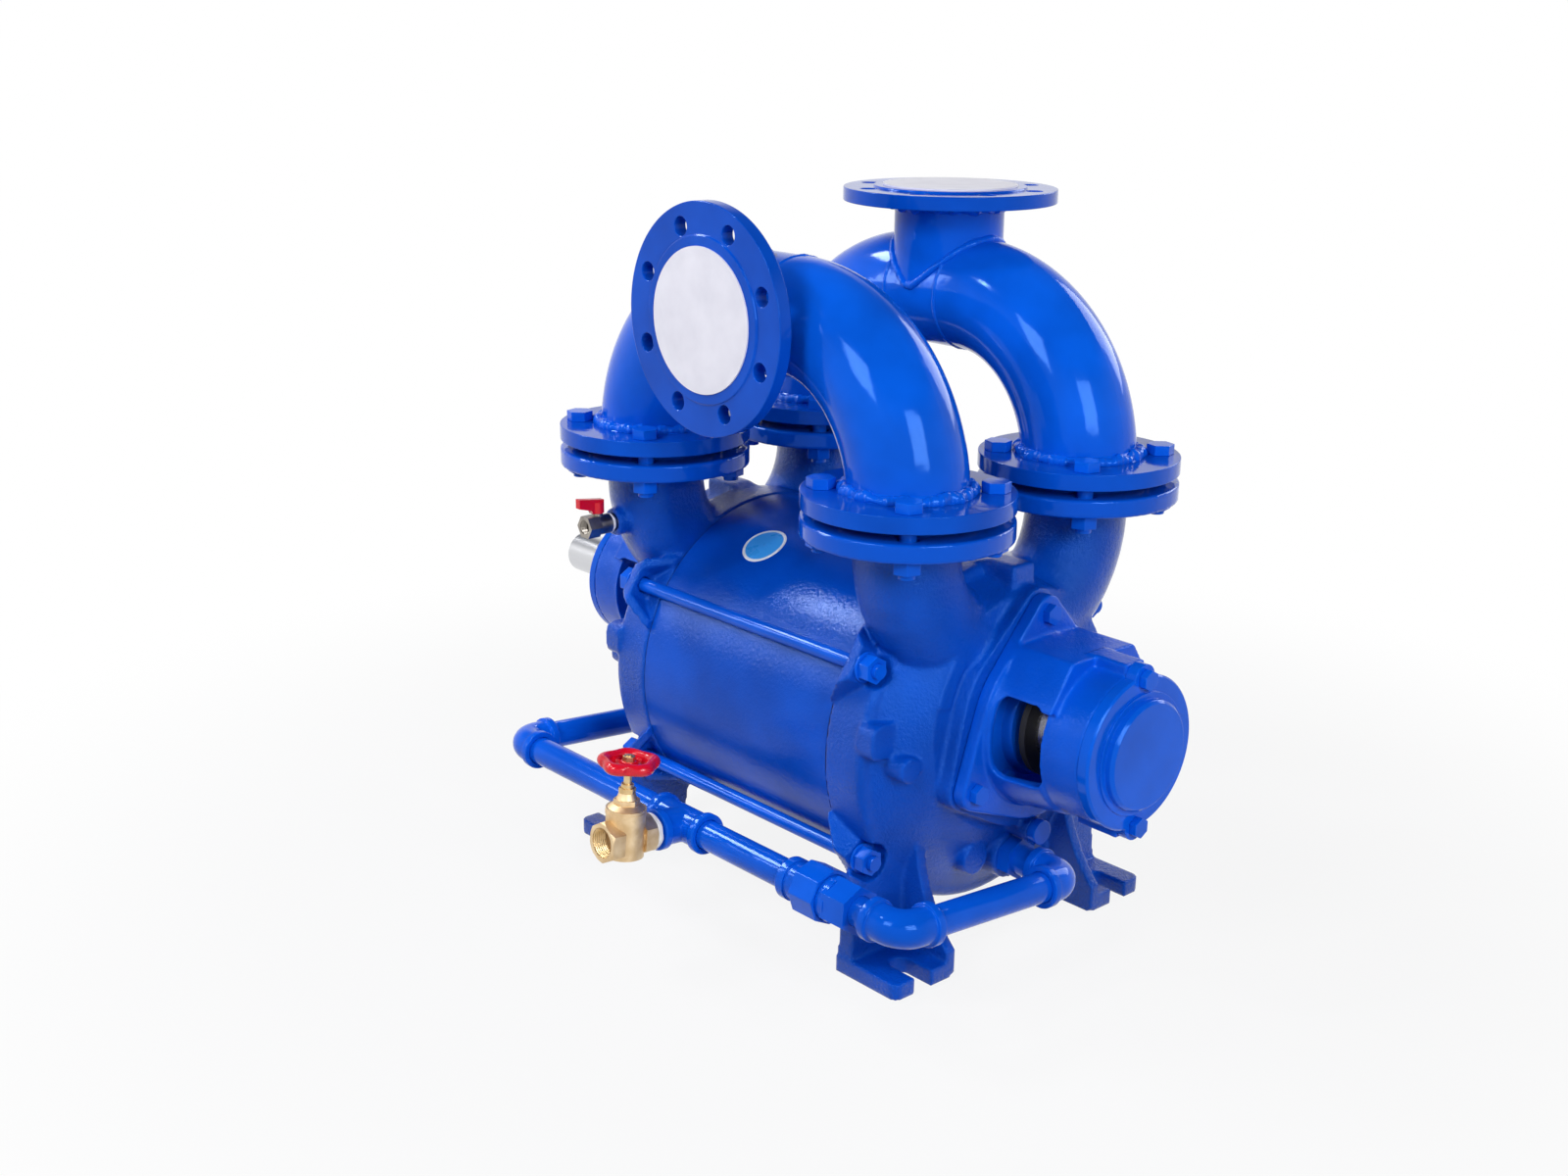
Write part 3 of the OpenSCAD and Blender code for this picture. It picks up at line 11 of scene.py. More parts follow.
import bmesh
import bpy
import numpy as np
from mathutils import Matrix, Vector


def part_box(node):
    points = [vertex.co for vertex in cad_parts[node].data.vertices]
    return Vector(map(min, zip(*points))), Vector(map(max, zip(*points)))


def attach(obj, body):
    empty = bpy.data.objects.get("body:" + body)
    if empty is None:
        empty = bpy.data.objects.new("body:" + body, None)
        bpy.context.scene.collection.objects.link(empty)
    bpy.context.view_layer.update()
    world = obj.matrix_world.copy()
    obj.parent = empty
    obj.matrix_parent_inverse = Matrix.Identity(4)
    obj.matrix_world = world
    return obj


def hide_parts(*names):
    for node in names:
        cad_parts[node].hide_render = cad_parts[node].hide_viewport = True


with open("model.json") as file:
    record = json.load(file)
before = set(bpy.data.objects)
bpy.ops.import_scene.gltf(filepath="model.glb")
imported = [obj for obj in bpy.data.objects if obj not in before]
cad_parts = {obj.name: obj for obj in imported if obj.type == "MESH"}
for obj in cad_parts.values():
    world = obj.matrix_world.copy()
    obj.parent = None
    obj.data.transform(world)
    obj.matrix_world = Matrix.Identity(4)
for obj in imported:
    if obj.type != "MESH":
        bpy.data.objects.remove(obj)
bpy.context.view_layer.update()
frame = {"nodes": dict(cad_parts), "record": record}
nodes = frame["nodes"]
body_of_node = {n: b for b, members in frame["record"]["behaviour"]["bodies"].items() for n in members}
slot_of_node = {s["node"]: s["material_slot"] for s in frame["record"]["subparts"]}
MM = 0.001

# %% [markdown]
# ## The camera
# The photograph was taken from the front right, a little above the flanges. A camera placed by eye would
# leave every edge a little off, so its lens and place were worked out from the circles of the flanges
# and the casing. The view then needs no shift: three unit vectors (right, up and back) make its matrix.

# %% Camera
CAMERA_AZIMUTH = math.radians(48.25)
CAMERA_ELEVATION = math.radians(17.25)
CAMERA_ROLL = math.radians(0.6)
CAMERA_PLACE = np.array([1.3616, -1.31845, 0.90006])
SENSOR_WIDTH = 36.0
FOCAL_SHARE = 1926.51 / 1600


def camera_matrix():
    """Columns are the view's right, up and back vectors, turned by the roll, then the place."""
    back = np.array([
        math.sin(CAMERA_AZIMUTH) * math.cos(CAMERA_ELEVATION),
        -math.cos(CAMERA_AZIMUTH) * math.cos(CAMERA_ELEVATION),
        math.sin(CAMERA_ELEVATION),
    ])
    right = np.cross(-back, [0, 0, 1])
    right /= np.linalg.norm(right)
    up = np.cross(right, -back)
    matrix = np.eye(4)
    matrix[:3, 0] = right * math.cos(CAMERA_ROLL) + up * math.sin(CAMERA_ROLL)
    matrix[:3, 1] = up * math.cos(CAMERA_ROLL) - right * math.sin(CAMERA_ROLL)
    matrix[:3, 2] = back
    matrix[:3, 3] = CAMERA_PLACE
    return Matrix(matrix.tolist())


camera = bpy.data.objects.new("camera", bpy.data.cameras.new("camera"))
bpy.context.scene.collection.objects.link(camera)
camera.data.sensor_width = SENSOR_WIDTH
camera.data.lens = SENSOR_WIDTH * FOCAL_SHARE
camera.data.clip_start = 0.05
camera.data.clip_end = 50
camera.matrix_world = camera_matrix()
bpy.context.scene.camera = camera
bpy.context.scene.view_settings.view_transform = "Standard"
print("lens", round(camera.data.lens, 2), "mm")

# %% [markdown]
# ## Nodes and colours
# Every finish below is a small node tree. It could be wired by hand in the shader editor, but in a script
# two functions are enough: one turns a web colour into linear light, and one adds a node, sets its
# properties and inputs, and links its inputs to other nodes' outputs.

# %% Colours


def linear(hex_colour):
    """An sRGB hex colour as linear RGBA: c / 12.92 below 0.04045, else ((c + 0.055) / 1.055) to the 2.4."""
    channels = np.array([int(hex_colour[i:i + 2], 16) for i in (1, 3, 5)]) / 255
    low = channels / 12.92
    high = ((channels + 0.055) / 1.055) ** 2.4
    return (*np.where(channels <= 0.04045, low, high).tolist(), 1.0)


print("mid grey is", round(linear("#808080")[0], 3), "in linear light")

# %% Nodes


def socket_of(node, key):
    """An input socket by its name, with _ for a space, or by its number written i0, i1 and so on."""
    numbered = key[0] == "i" and key[1:].isdigit()
    return node.inputs[int(key[1:]) if numbered else key.replace("_", " ")]


def add(tree, kind, settings=None, stops=(), **inputs):
    """Adds a node with its properties, a ramp's (position, colour) stops and its inputs.

    An input is a value, or an output socket to link from.
    """
    node = tree.nodes.new(kind)
    for key, value in (settings or {}).items():
        setattr(node, key, value)
    if stops:
        elements = node.color_ramp.elements
        while len(elements) < len(stops):
            elements.new(0.5)
        for element, (position, colour) in zip(elements, stops):
            element.position = position
            element.color = colour
    for key, value in inputs.items():
        socket = socket_of(node, key)
        if isinstance(value, bpy.types.NodeSocket):
            tree.links.new(value, socket)
        else:
            socket.default_value = value
    return node


def new_material(name):
    """A new material and its empty node tree."""
    material = bpy.data.materials.new(name)
    material.use_nodes = True
    material.node_tree.nodes.clear()
    return material, material.node_tree


def finish_material(tree, shader):
    """Links a shader to the material's output."""
    add(tree, "ShaderNodeOutputMaterial", Surface=shader)


print("materials so far", len(bpy.data.materials))

# %% [markdown]
# ## What the finishes share
# No real surface is even: its colour drifts, its gloss changes in patches and a grain breaks its
# reflections. Pictures could carry all that, but they need an unwrapped mesh. Noise on Object coordinates
# needs none, and its scale is one over a real size.

# %% Drift, gloss and grain


def drifting_tint(tree, size_mm, dark, light, low=0.3, high=0.75):
    """Patches about size_mm across that drift between two hex colours."""
    coords = add(tree, "ShaderNodeTexCoord").outputs["Object"]
    patches = add(tree, "ShaderNodeTexNoise", Vector=coords, Scale=1000 / size_mm, Detail=3).outputs["Fac"]
    stops = (low, linear(dark)), (high, linear(light))
    return add(tree, "ShaderNodeValToRGB", stops=stops, Fac=patches).outputs["Color"]


def uneven_gloss(tree, size_mm, low, spread, detail=4):
    """A roughness that wanders from low to low + spread in patches about size_mm across."""
    coords = add(tree, "ShaderNodeTexCoord").outputs["Object"]
    patches = add(tree, "ShaderNodeTexNoise", Vector=coords, Scale=1000 / size_mm, Detail=detail)
    return add(tree, "ShaderNodeMapRange", Value=patches.outputs["Fac"], To_Min=low,
               To_Max=low + spread).outputs["Result"]


def grainy_normal(tree, size_mm, depth_mm, detail, strength=0.5):
    """A bump of the given depth from noise about size_mm across."""
    coords = add(tree, "ShaderNodeTexCoord").outputs["Object"]
    grain = add(tree, "ShaderNodeTexNoise", Vector=coords, Scale=1000 / size_mm, Detail=detail)
    return add(tree, "ShaderNodeBump", Height=grain.outputs["Fac"], Distance=depth_mm * MM,
               Strength=strength).outputs["Normal"]


print("patterns are sized in units of", MM, "m")

# %% [markdown]
# ## Blue enamel
# The whole pump was sprayed after assembly with one glossy alkyd enamel. On pipes and flanges it dries
# with a faint orange peel. On the castings it follows the sand's grain, which breaks every highlight
# into sparkles. The same function makes all of them, each with its own blue and grain. The blues are
# lit and shaded copies of the one paint: lightest on the pipes, a little deeper on the brackets, and
# darkest on the flanges, the barrel and the raw castings, where the blue is painted shade for the
# grain's small shadows and for the shade that falls on them. One material with a mask for each piece
# could do it too, but five plain ones are easier to match. The sheen is tinted, because the pigment
# lies close under the gloss.

# %% Enamel
# Lit and shaded copies of one paint: the shaded blue holds painted shade, and the smooth blue holds less of
# it.
PIPE_BLUE = "#044dbf", "#065bdb"
SMOOTH_BLUE = "#0349bc", "#0454d4"
SHADED_BLUE = "#033fa6", "#044cc0"
ENAMEL_SHEEN = "#74b2ff"
DRIFT_MM, DULL_MM = 90, 25
GRAIN_STRENGTH = 0.6
FLANGE_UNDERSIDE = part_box("port_nuts")[1].z
TURNED_FADE = 3 * MM


def below(tree, height, fade):
    """1 below a height on the pump, 0 above it, with a short fade between."""
    coords = add(tree, "ShaderNodeTexCoord").outputs["Object"]
    level = add(tree, "ShaderNodeSeparateXYZ", Vector=coords).outputs["Z"]
    return add(tree, "ShaderNodeMapRange", Value=level, From_Min=height - fade, From_Max=height, To_Min=1.0,
               To_Max=0.0).outputs["Result"]


def enamel(name, blues, peel, grain, gloss, ior, turned_above=None):
    """Enamel: a slow drift between two blues, orange peel, and the grain of what lies under the paint.

    Peel and grain are (size, depth) in millimetres, gloss is (roughness, spread). Above a given height
    the casting was turned, so the grain stops there and the blue is the smooth one, which lacks the
    grain's painted shade.
    """
    material, tree = new_material(name)
    colour = drifting_tint(tree, DRIFT_MM, *blues, 0.35, 0.7)
    normal = grainy_normal(tree, *peel, detail=1.5)
    if grain:
        size_mm, depth_mm = grain
        coords = add(tree, "ShaderNodeTexCoord").outputs["Object"]
        height = add(tree, "ShaderNodeTexNoise", Vector=coords, Scale=1000 / size_mm, Detail=4,
                     Roughness=0.62).outputs["Fac"]
        if turned_above:
            raw = below(tree, turned_above, TURNED_FADE)
            height = add(tree, "ShaderNodeMath", {"operation": "MULTIPLY"}, i0=height,
                         i1=raw).outputs["Value"]
            # The raw casting keeps the blue with painted shade for its grain; turned faces get the smooth
            # blue.
            colour = add(tree, "ShaderNodeMix", {"data_type": "RGBA"}, i0=raw, i6=linear(SMOOTH_BLUE[0]),
                         i7=colour).outputs[2]
        normal = add(tree, "ShaderNodeBump", Height=height, Distance=depth_mm * MM, Strength=GRAIN_STRENGTH,
                     Normal=normal).outputs["Normal"]
    gloss_level = uneven_gloss(tree, DULL_MM, *gloss)
    shader = add(tree, "ShaderNodeBsdfPrincipled", Base_Color=colour, Roughness=gloss_level, Normal=normal,
                 IOR=ior, Specular_Tint=linear(ENAMEL_SHEEN))
    finish_material(tree, shader.outputs["BSDF"])
    return material


# Steel pipe under a thin coat: clear reflections, softened by faint orange peel
pipe_enamel = enamel("blue_enamel_on_steel", PIPE_BLUE, (11, 0.3), None, (0.08, 0.05), 1.38)
# Turned flanges: the same gloss, in the darker blue that paints the shade on them
flange_enamel = enamel("blue_enamel_on_flanges", SHADED_BLUE, (11, 0.3), None, (0.08, 0.05), 1.38)
# Rolled plate: shallow grain spreads the highlight into a soft band. Its darker blue is painted shade.
barrel_enamel = enamel("blue_enamel_on_rolled_barrel", SHADED_BLUE, (9, 0.25), (3.4, 0.6), (0.05, 0.03), 1.36)
# Sand-cast iron: deep grain breaks every highlight. It is drawn coarser than the sand, so that it shows.
# Its darker blue is painted shade for the grain's small shadows.
cast_enamel = enamel("blue_enamel_on_cast_iron", SHADED_BLUE, (16, 0.8), (3.0, 2.2), (0.04, 0.04), 1.46,
                     FLANGE_UNDERSIDE)
# A ground-down casting: shallower grain, so the reflections stay whole, in the lighter smooth blue, a lit
# copy of the same paint
bracket_enamel = enamel("blue_enamel_on_smooth_casting", SMOOTH_BLUE, (14, 0.6), (3.0, 0.9), (0.07, 0.06),
                        1.42)
print("enamels on pipes, flanges, barrel, castings and brackets")

# %% [markdown]
# ## Metals
# The shaft end is turned steel, so fine rings run round its axis. The gate valve is sand-cast brass
# with machined ends, the small ball valve is nickel plated, and port plates and impeller are bronze.
# A metal's colour is its reflection, so no picture of metal is needed: each one only needs its tint,
# its roughness and its grain.

# %% Metal finishes
TARNISH_MM, RUBBED_MM = 14, 5
RING_PITCH_MM = 0.8


def metal(name, dark, light, roughness, spread, grain_mm, grain_depth):
    """A bare metal: tint that drifts between two colours, uneven roughness, and a grain."""
    material, tree = new_material(name)
    tint = drifting_tint(tree, TARNISH_MM, dark, light)
    gloss_level = uneven_gloss(tree, RUBBED_MM, roughness, spread)
    shader = add(tree, "ShaderNodeBsdfPrincipled", Base_Color=tint, Metallic=1.0, Roughness=gloss_level,
                 Normal=grainy_normal(tree, grain_mm, grain_depth, detail=3))
    finish_material(tree, shader.outputs["BSDF"])
    return material


def turned_steel():
    """Turned steel: rings of tool marks across X, drawn wide enough apart to show."""
    material, tree = new_material("turned_steel")
    coords = add(tree, "ShaderNodeTexCoord").outputs["Object"]
    marks = add(tree, "ShaderNodeTexWave", {"bands_direction": "X"}, Vector=coords,
                Scale=1000 / RING_PITCH_MM / 20, Distortion=0.6, Detail=2.0).outputs["Fac"]
    gloss_level = add(tree, "ShaderNodeMapRange", Value=marks, To_Min=0.2, To_Max=0.25).outputs["Result"]
    normal = add(tree, "ShaderNodeBump", Height=marks, Distance=0.01 * MM, Strength=0.2).outputs["Normal"]
    shader = add(tree, "ShaderNodeBsdfPrincipled", Base_Color=linear("#d3d4d8"), Metallic=1.0,
                 Roughness=gloss_level, Normal=normal)
    finish_material(tree, shader.outputs["BSDF"])
    return material


# Turned shaft: bright, with fine rings that stretch the highlight along the axis
shaft_steel = turned_steel()
# Ground stainless: even and bright, with no marks that show
ground_stainless = metal("ground_stainless_steel", "#b8b9bd", "#d0d1d4", 0.22, 0.1, 0.6, 0.03)
# Sand-cast bronze: warm brown with broken highlights
cast_bronze = metal("cast_bronze", "#8a5a2c", "#b98145", 0.3, 0.2, 2, 0.15)
# Sand-cast brass, unpolished: a pale gold glow with no sharp reflection
cast_brass = metal("sand_cast_brass", "#cbae84", "#ead5b0", 0.46, 0.14, 1.4, 0.14)
# Turned brass: the same gold with a tighter gleam
turned_brass = metal("turned_brass", "#c9a873", "#ead2a4", 0.32, 0.12, 0.7, 0.03)
# Nickel plate: a warm grey that mirrors dark and light in patches
nickel_plate = metal("nickel_plate", "#857f79", "#b0aaa2", 0.24, 0.14, 1.6, 0.05)
# Ground and polished bearing steel: nearly a mirror
bearing_steel = metal("bearing_steel", "#c2c4c8", "#d8d9dc", 0.12, 0.08, 0.6, 0.01)
print("turned rings drawn", RING_PITCH_MM, "mm apart, and six other metals")

# %% [markdown]
# ## Paint, plastic, rubber and tape
# The handwheel and the small lever are dipped in red enamel. White film discs close the two flanges
# for transport. Gaskets and lip seals are black, and the thread tape is matt white with fine creases.
# They differ only in colour, gloss and grain, so one function with a few numbers makes them all.

# %% Other finishes
FADE_MM, WORN_MM = 30, 9


def coated(name, deep, light, roughness, spread, grain_mm, grain_depth, ior=1.5):
    """A paint, plastic or rubber: colour drift, uneven roughness and a fine grain."""
    material, tree = new_material(name)
    colour = drifting_tint(tree, FADE_MM, deep, light)
    gloss_level = uneven_gloss(tree, WORN_MM, roughness, spread)
    shader = add(tree, "ShaderNodeBsdfPrincipled", Base_Color=colour, Roughness=gloss_level, IOR=ior,
                 Normal=grainy_normal(tree, grain_mm, grain_depth, detail=2))
    finish_material(tree, shader.outputs["BSDF"])
    return material


# Dipped enamel: wet red gloss, a little wavy
red_enamel = coated("red_dipped_enamel", "#c2081f", "#d80f2a", 0.12, 0.12, 7, 0.3, 1.45)
# Polyethylene film: soft white with a wide dull highlight
white_film = coated("white_polyethylene_film", "#d0cfda", "#dcdbe5", 0.34, 0.1, 24, 0.4)
# Sintered alumina: dense white with a faint gloss
white_ceramic = coated("white_alumina", "#dcdcd6", "#e8e8e4", 0.25, 0.1, 2, 0.05)
# Moulded nitrile rubber: satin black
nitrile_rubber = coated("black_nitrile_rubber", "#141414", "#1e1e1f", 0.5, 0.15, 2, 0.1)
# Pressed gasket sheet: dull black
gasket_sheet = coated("black_gasket_sheet", "#0c0c0d", "#161617", 0.7, 0.15, 1.5, 0.1)
# Wound thread tape: waxy white, finely creased
thread_tape = coated("white_thread_tape", "#dededf", "#f0f0f0", 0.45, 0.2, 1.5, 0.3)
print("paints, plastics, rubber and tape made")

# %% Which piece gets which finish
FINISH_OF_SLOT = {
    "blue_paint": pipe_enamel,
    "cast_blue_paint": cast_enamel,
    "steel": shaft_steel,
    "stainless": ground_stainless,
    "bronze": cast_bronze,
    "brass": cast_brass,
    "red_paint": red_enamel,
    "white_plastic": white_film,
    "white_ceramic": white_ceramic,
    "rubber": nitrile_rubber,
    "gasket": gasket_sheet,
    "nickel": nickel_plate,
}
FINISH_OF_NODE = {
    "casing": barrel_enamel,
    "suction_flange": flange_enamel,
    "discharge_flange": flange_enamel,
    "suction_port_flanges": flange_enamel,
    "discharge_port_flanges": flange_enamel,
    "bearing_bracket_drive": bracket_enamel,
    "bearing_bracket_free": bracket_enamel,
    "bearing_balls": bearing_steel,
    "bearing_outer_rings": bearing_steel,
    "bearing_inner_rings": bearing_steel,
    "bearing_cages": turned_brass,
    "gate_valve_stem": turned_brass,
    "handwheel_nut": turned_brass,
    "gate_valve_gland_nut": turned_brass,
}


def finish_for(node):
    """The material that a node's slot, or the node itself, calls for."""
    return FINISH_OF_NODE.get(node, FINISH_OF_SLOT[slot_of_node[node]])


for name, solid in nodes.items():
    solid.data.materials.clear()
    solid.data.materials.append(finish_for(name))
print("finishes on", len(nodes), "solids")

# %% [markdown]
# ## Rounded castings
# Sand castings have no sharp inner corners: every rib and neck flows into the wall beside it. A bevel
# only follows single edges, so it can't make such a flow. Instead, a copy of the solid is rebuilt from
# small voxels and then smoothed. Points near the machined flanges, feet and seats are smoothed a little,
# and points on the raw casting much more.

# %% Copies of solids


def node_copy(node, name):
    """A new object with a merged copy of a node's mesh."""
    mesh = nodes[node].data.copy()
    mesh.name = name
    shape = bmesh.new()
    shape.from_mesh(mesh)
    bmesh.ops.remove_doubles(shape, verts=shape.verts, dist=1e-6)
    shape.to_mesh(mesh)
    shape.free()
    piece = bpy.data.objects.new(name, mesh)
    bpy.context.scene.collection.objects.link(piece)
    return piece


def dress(piece, node, material):
    """The piece stands for the node: same body and the given material, and the node is hidden."""
    piece.data.materials.clear()
    piece.data.materials.append(material)
    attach(piece, body_of_node[node])
    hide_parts(node)


def apply_modifiers(piece):
    """Bakes a piece's modifiers into its mesh."""
    graph = bpy.context.evaluated_depsgraph_get()
    mesh = bpy.data.meshes.new_from_object(piece.evaluated_get(graph))
    piece.modifiers.clear()
    piece.data = mesh


def mesh_points(mesh):
    """A mesh's points as an array."""
    flat = np.empty(len(mesh.vertices) * 3)
    mesh.vertices.foreach_get("co", flat)
    return flat.reshape(-1, 3)


print("largest solid:", max(len(solid.data.polygons) for solid in nodes.values()), "triangles")

# %% Casting skins
EDGE_PASSES = 2
COVER_CASTING = dict(passes=24, voxel_mm=2.0, keep=0.4)
BRACKET_CASTING = dict(passes=5, voxel_mm=1.5, keep=0.8)
WHEEL_CASTING = dict(passes=5, voxel_mm=0.6, keep=0.8)


def smooth_by_weight(piece, weights, passes):
    """Smooth passes on weights from 0 to 1: each point moves towards its neighbours' mean."""
    group = piece.vertex_groups.new(name="cast")
    levels = np.round(np.clip(weights, 0, 1) * 10).astype(int)
    for level in range(1, 11):
        group.add(np.flatnonzero(levels == level).tolist(), level / 10, "REPLACE")
    smooth = piece.modifiers.new("cast", "SMOOTH")
    smooth.factor = 0.5
    smooth.iterations = passes
    smooth.vertex_group = "cast"


def casting(node, name, weights_of, passes, voxel_mm, keep):
    """A rounded copy: voxels, a light smooth all over, a strong one on the raw casting, then thinning."""
    piece = node_copy(node, name)
    remesh = piece.modifiers.new("voxels", "REMESH")
    remesh.mode = "VOXEL"
    remesh.voxel_size = voxel_mm * MM
    apply_modifiers(piece)
    light = piece.modifiers.new("edges", "SMOOTH")
    light.factor = 0.5
    light.iterations = EDGE_PASSES
    smooth_by_weight(piece, weights_of(mesh_points(piece.data)), passes)
    thin = piece.modifiers.new("thin", "DECIMATE")
    thin.ratio = keep
    apply_modifiers(piece)
    piece.data.polygons.foreach_set("use_smooth", np.ones(len(piece.data.polygons), bool))
    dress(piece, node, finish_for(node))
    print(name, len(piece.data.polygons), "faces")
    return piece


print("voxels of", COVER_CASTING["voxel_mm"], "mm on covers,", BRACKET_CASTING["voxel_mm"], "mm on brackets")

# %% [markdown]
# How far each point may flow is a product of smooth steps, one for each machined face or ear that has to
# stay crisp. Weights could be painted by hand, but steps from the frame's own boxes follow the solids.

# %% Where the castings flow
SEAT_X, HOUSING_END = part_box("bearing_bracket_free")[0].x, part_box("bearing_bracket_free")[1].x
JOINT_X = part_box("end_cover_free")[0].x
SHAFT_Z = (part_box("shaft")[0].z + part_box("shaft")[1].z) / 2
FOOT_TOP = 30 * MM
BODY_SHARE = 0.12
ROD_R = 7.35 * MM
ROD_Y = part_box("tie_rods")[1].y - ROD_R
ROD_LOW, ROD_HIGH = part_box("tie_rods")[0].z + ROD_R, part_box("tie_rods")[1].z - ROD_R


def step(values, low, high):
    """Smooth step from 0 at low to 1 at high: t squared times three less two t."""
    t = np.clip((values - low) / (high - low), 0, 1)
    return t * t * (3 - 2 * t)


def cover_weights(points):
    """1 on the necks, which flow most. It fades at the flanges, seat, joint, feet, rod ears and drum."""
    x, y, z = np.abs(points[:, 0]), np.abs(points[:, 1]), points[:, 2]
    below_flange = 1 - step(z, FLANGE_UNDERSIDE - 16 * MM, FLANGE_UNDERSIDE - 6 * MM)
    off_seat = 1 - step(x, SEAT_X - 8 * MM, SEAT_X - 4 * MM)
    off_joint = step(x, JOINT_X + 3 * MM, JOINT_X + 8 * MM)
    off_foot = step(z, FOOT_TOP - 8 * MM, FOOT_TOP)
    on_neck = BODY_SHARE + (1 - BODY_SHARE) * step(z, SHAFT_Z + 60 * MM, SHAFT_Z + 90 * MM)
    to_rod = np.minimum(np.hypot(y - ROD_Y, z - ROD_LOW), np.hypot(y - ROD_Y, z - ROD_HIGH))
    off_ear = BODY_SHARE + (1 - BODY_SHARE) * step(to_rod, 28 * MM, 46 * MM)
    return below_flange * off_seat * off_joint * off_foot * on_neck * off_ear


def bracket_weights(points):
    """Raw casting is 1; it fades to 0 at the seat and at the bearing cover."""
    x = np.abs(points[:, 0])
    off_seat = step(x, SEAT_X + 6 * MM, SEAT_X + 16 * MM)
    return off_seat * (1 - step(x, HOUSING_END - 8 * MM, HOUSING_END - 3 * MM))


for end in ("drive", "free"):
    casting(f"end_cover_{end}", f"cover_casting_{end}", cover_weights, **COVER_CASTING)
    casting(f"bearing_bracket_{end}", f"bracket_casting_{end}", bracket_weights, **BRACKET_CASTING)

# %% [markdown]
# ## Eased edges
# Paint gathers on edges, so no flange, bolt head or cover on the real pump shows a knife edge. Each
# turned or cut piece gets a copy with its flat triangles joined and a small bevel on what is left. The
# joining comes first, because a bevel on loose triangles would round every diagonal.

# %% Eased copies
SHARP = math.radians(34)
FLAT = math.radians(0.6)


def eased(node, width_mm, segments=2, material=None):
    """A copy with flat faces joined and its sharp edges rounded by a bevel of the given width."""
    piece = node_copy(node, f"eased_{node}")
    shape = bmesh.new()
    shape.from_mesh(piece.data)
    bmesh.ops.dissolve_limit(shape, angle_limit=FLAT, verts=shape.verts, edges=shape.edges)
    shape.to_mesh(piece.data)
    shape.free()
    piece.data.polygons.foreach_set("use_smooth", np.ones(len(piece.data.polygons), bool))
    bevel = piece.modifiers.new("eased", "BEVEL")
    bevel.width = width_mm * MM
    bevel.segments = segments
    bevel.limit_method = "ANGLE"
    bevel.angle_limit = SHARP
    flat = piece.modifiers.new("flat", "WEIGHTED_NORMAL")
    flat.keep_sharp = True
    dress(piece, node, material or finish_for(node))
    return piece


EASED_WIDTHS = {
    1.2: ["suction_flange", "discharge_flange", "suction_port_flanges", "discharge_port_flanges"],
    1.0: ["bearing_cover_drive", "bearing_cover_free", "seal_cover_drive", "seal_cover_free"],
    0.9: ["port_bolts", "port_nuts", "bracket_bolts", "bearing_cover_bolts", "tie_rod_nuts",
          "seal_cover_bolts", "tie_rod_washers", "cover_plugs", "union_nut", "union_body", "union_tail"],
    1.6: ["water_elbows", "water_tee"],
    0.5: ["gate_valve_gland_nut", "handwheel_nut", "ball_valve_lever", "ball_valve_body"],
    0.8: ["gate_valve_bonnet"],
}
for width, members in EASED_WIDTHS.items():
    for member in members:
        eased(member, width)
print("eased", sum(len(m) for m in EASED_WIDTHS.values()), "nodes")

# %% [markdown]
# ## Surfaces from formulas
# The remaining pieces are grids of points: a profile carried round a path. Rows run along the path
# and columns round the profile, and both close on themselves, so each piece is a closed skin. They
# could be sculpted, but a formula gives the same shape on every run.

# %% Grid surfaces


def grid_object(name, points):
    """A closed skin from an array (rows, columns, 3): quads join each point to the next row and column."""
    rows, columns = points.shape[:2]
    index = np.arange(rows * columns).reshape(rows, columns)
    right = np.roll(index, -1, 1)
    quads = np.stack([index, right, np.roll(right, -1, 0), np.roll(index, -1, 0)], -1).reshape(-1, 4)
    mesh = bpy.data.meshes.new(name)
    mesh.from_pydata(points.reshape(-1, 3).tolist(), [], quads.tolist())
    shape = bmesh.new()
    shape.from_mesh(mesh)
    bmesh.ops.recalc_face_normals(shape, faces=shape.faces)
    shape.to_mesh(mesh)
    shape.free()
    mesh.polygons.foreach_set("use_smooth", np.ones(len(mesh.polygons), bool))
    piece = bpy.data.objects.new(name, mesh)
    bpy.context.scene.collection.objects.link(piece)
    return piece


def closed_grid(name, points, body, material):
    """A closed skin that rides a body and material."""
    piece = grid_object(name, points)
    piece.data.materials.append(material)
    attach(piece, body)
    return piece


def lumps(angle, seed, waves, amount):
    """Uneven round a closed path: a sum of sines of the given whole wave counts with seeded phases."""
    draw = np.random.default_rng(seed)
    phase = draw.uniform(0, 2 * np.pi, len(waves))
    height = draw.uniform(0.5, 1.0, len(waves))
    total = np.sum(height[:, None] * np.sin(np.outer(waves, angle) + phase[:, None]), 0)
    return amount * total / height.sum()


sample = lumps(np.linspace(0, 2 * np.pi, 200), 1, np.arange(3, 34), 1.0)
print("lumps of amount 1 run from", round(float(sample.min()), 2), "to", round(float(sample.max()), 2))

# %% [markdown]
# ## Weld beads
# The flanges are welded to the pipes by hand. A hand-laid bead is a row of overlapping puddles, thick
# here and thin there. Bump on a plain fillet would look flat from the side, so each bead is a round
# profile carried round the joint; its size ripples with the puddles and swells with slow waves, and its
# middle wanders a little.

# %% Weld beads
PIPE_R = 57.15 * MM
PORT_FLANGE_R = 100 * MM
PORT_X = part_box("suction_port_flanges")[1].x - PORT_FLANGE_R
PORT_Y = 120 * MM
PORT_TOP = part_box("suction_port_flanges")[1].z
RUN_Z = (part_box("suction_flange")[0].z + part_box("suction_flange")[1].z) / 2
ELBOW_R = 152.4 * MM
SUCTION_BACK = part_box("suction_flange")[1].y
DISCHARGE_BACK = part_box("discharge_flange")[0].z


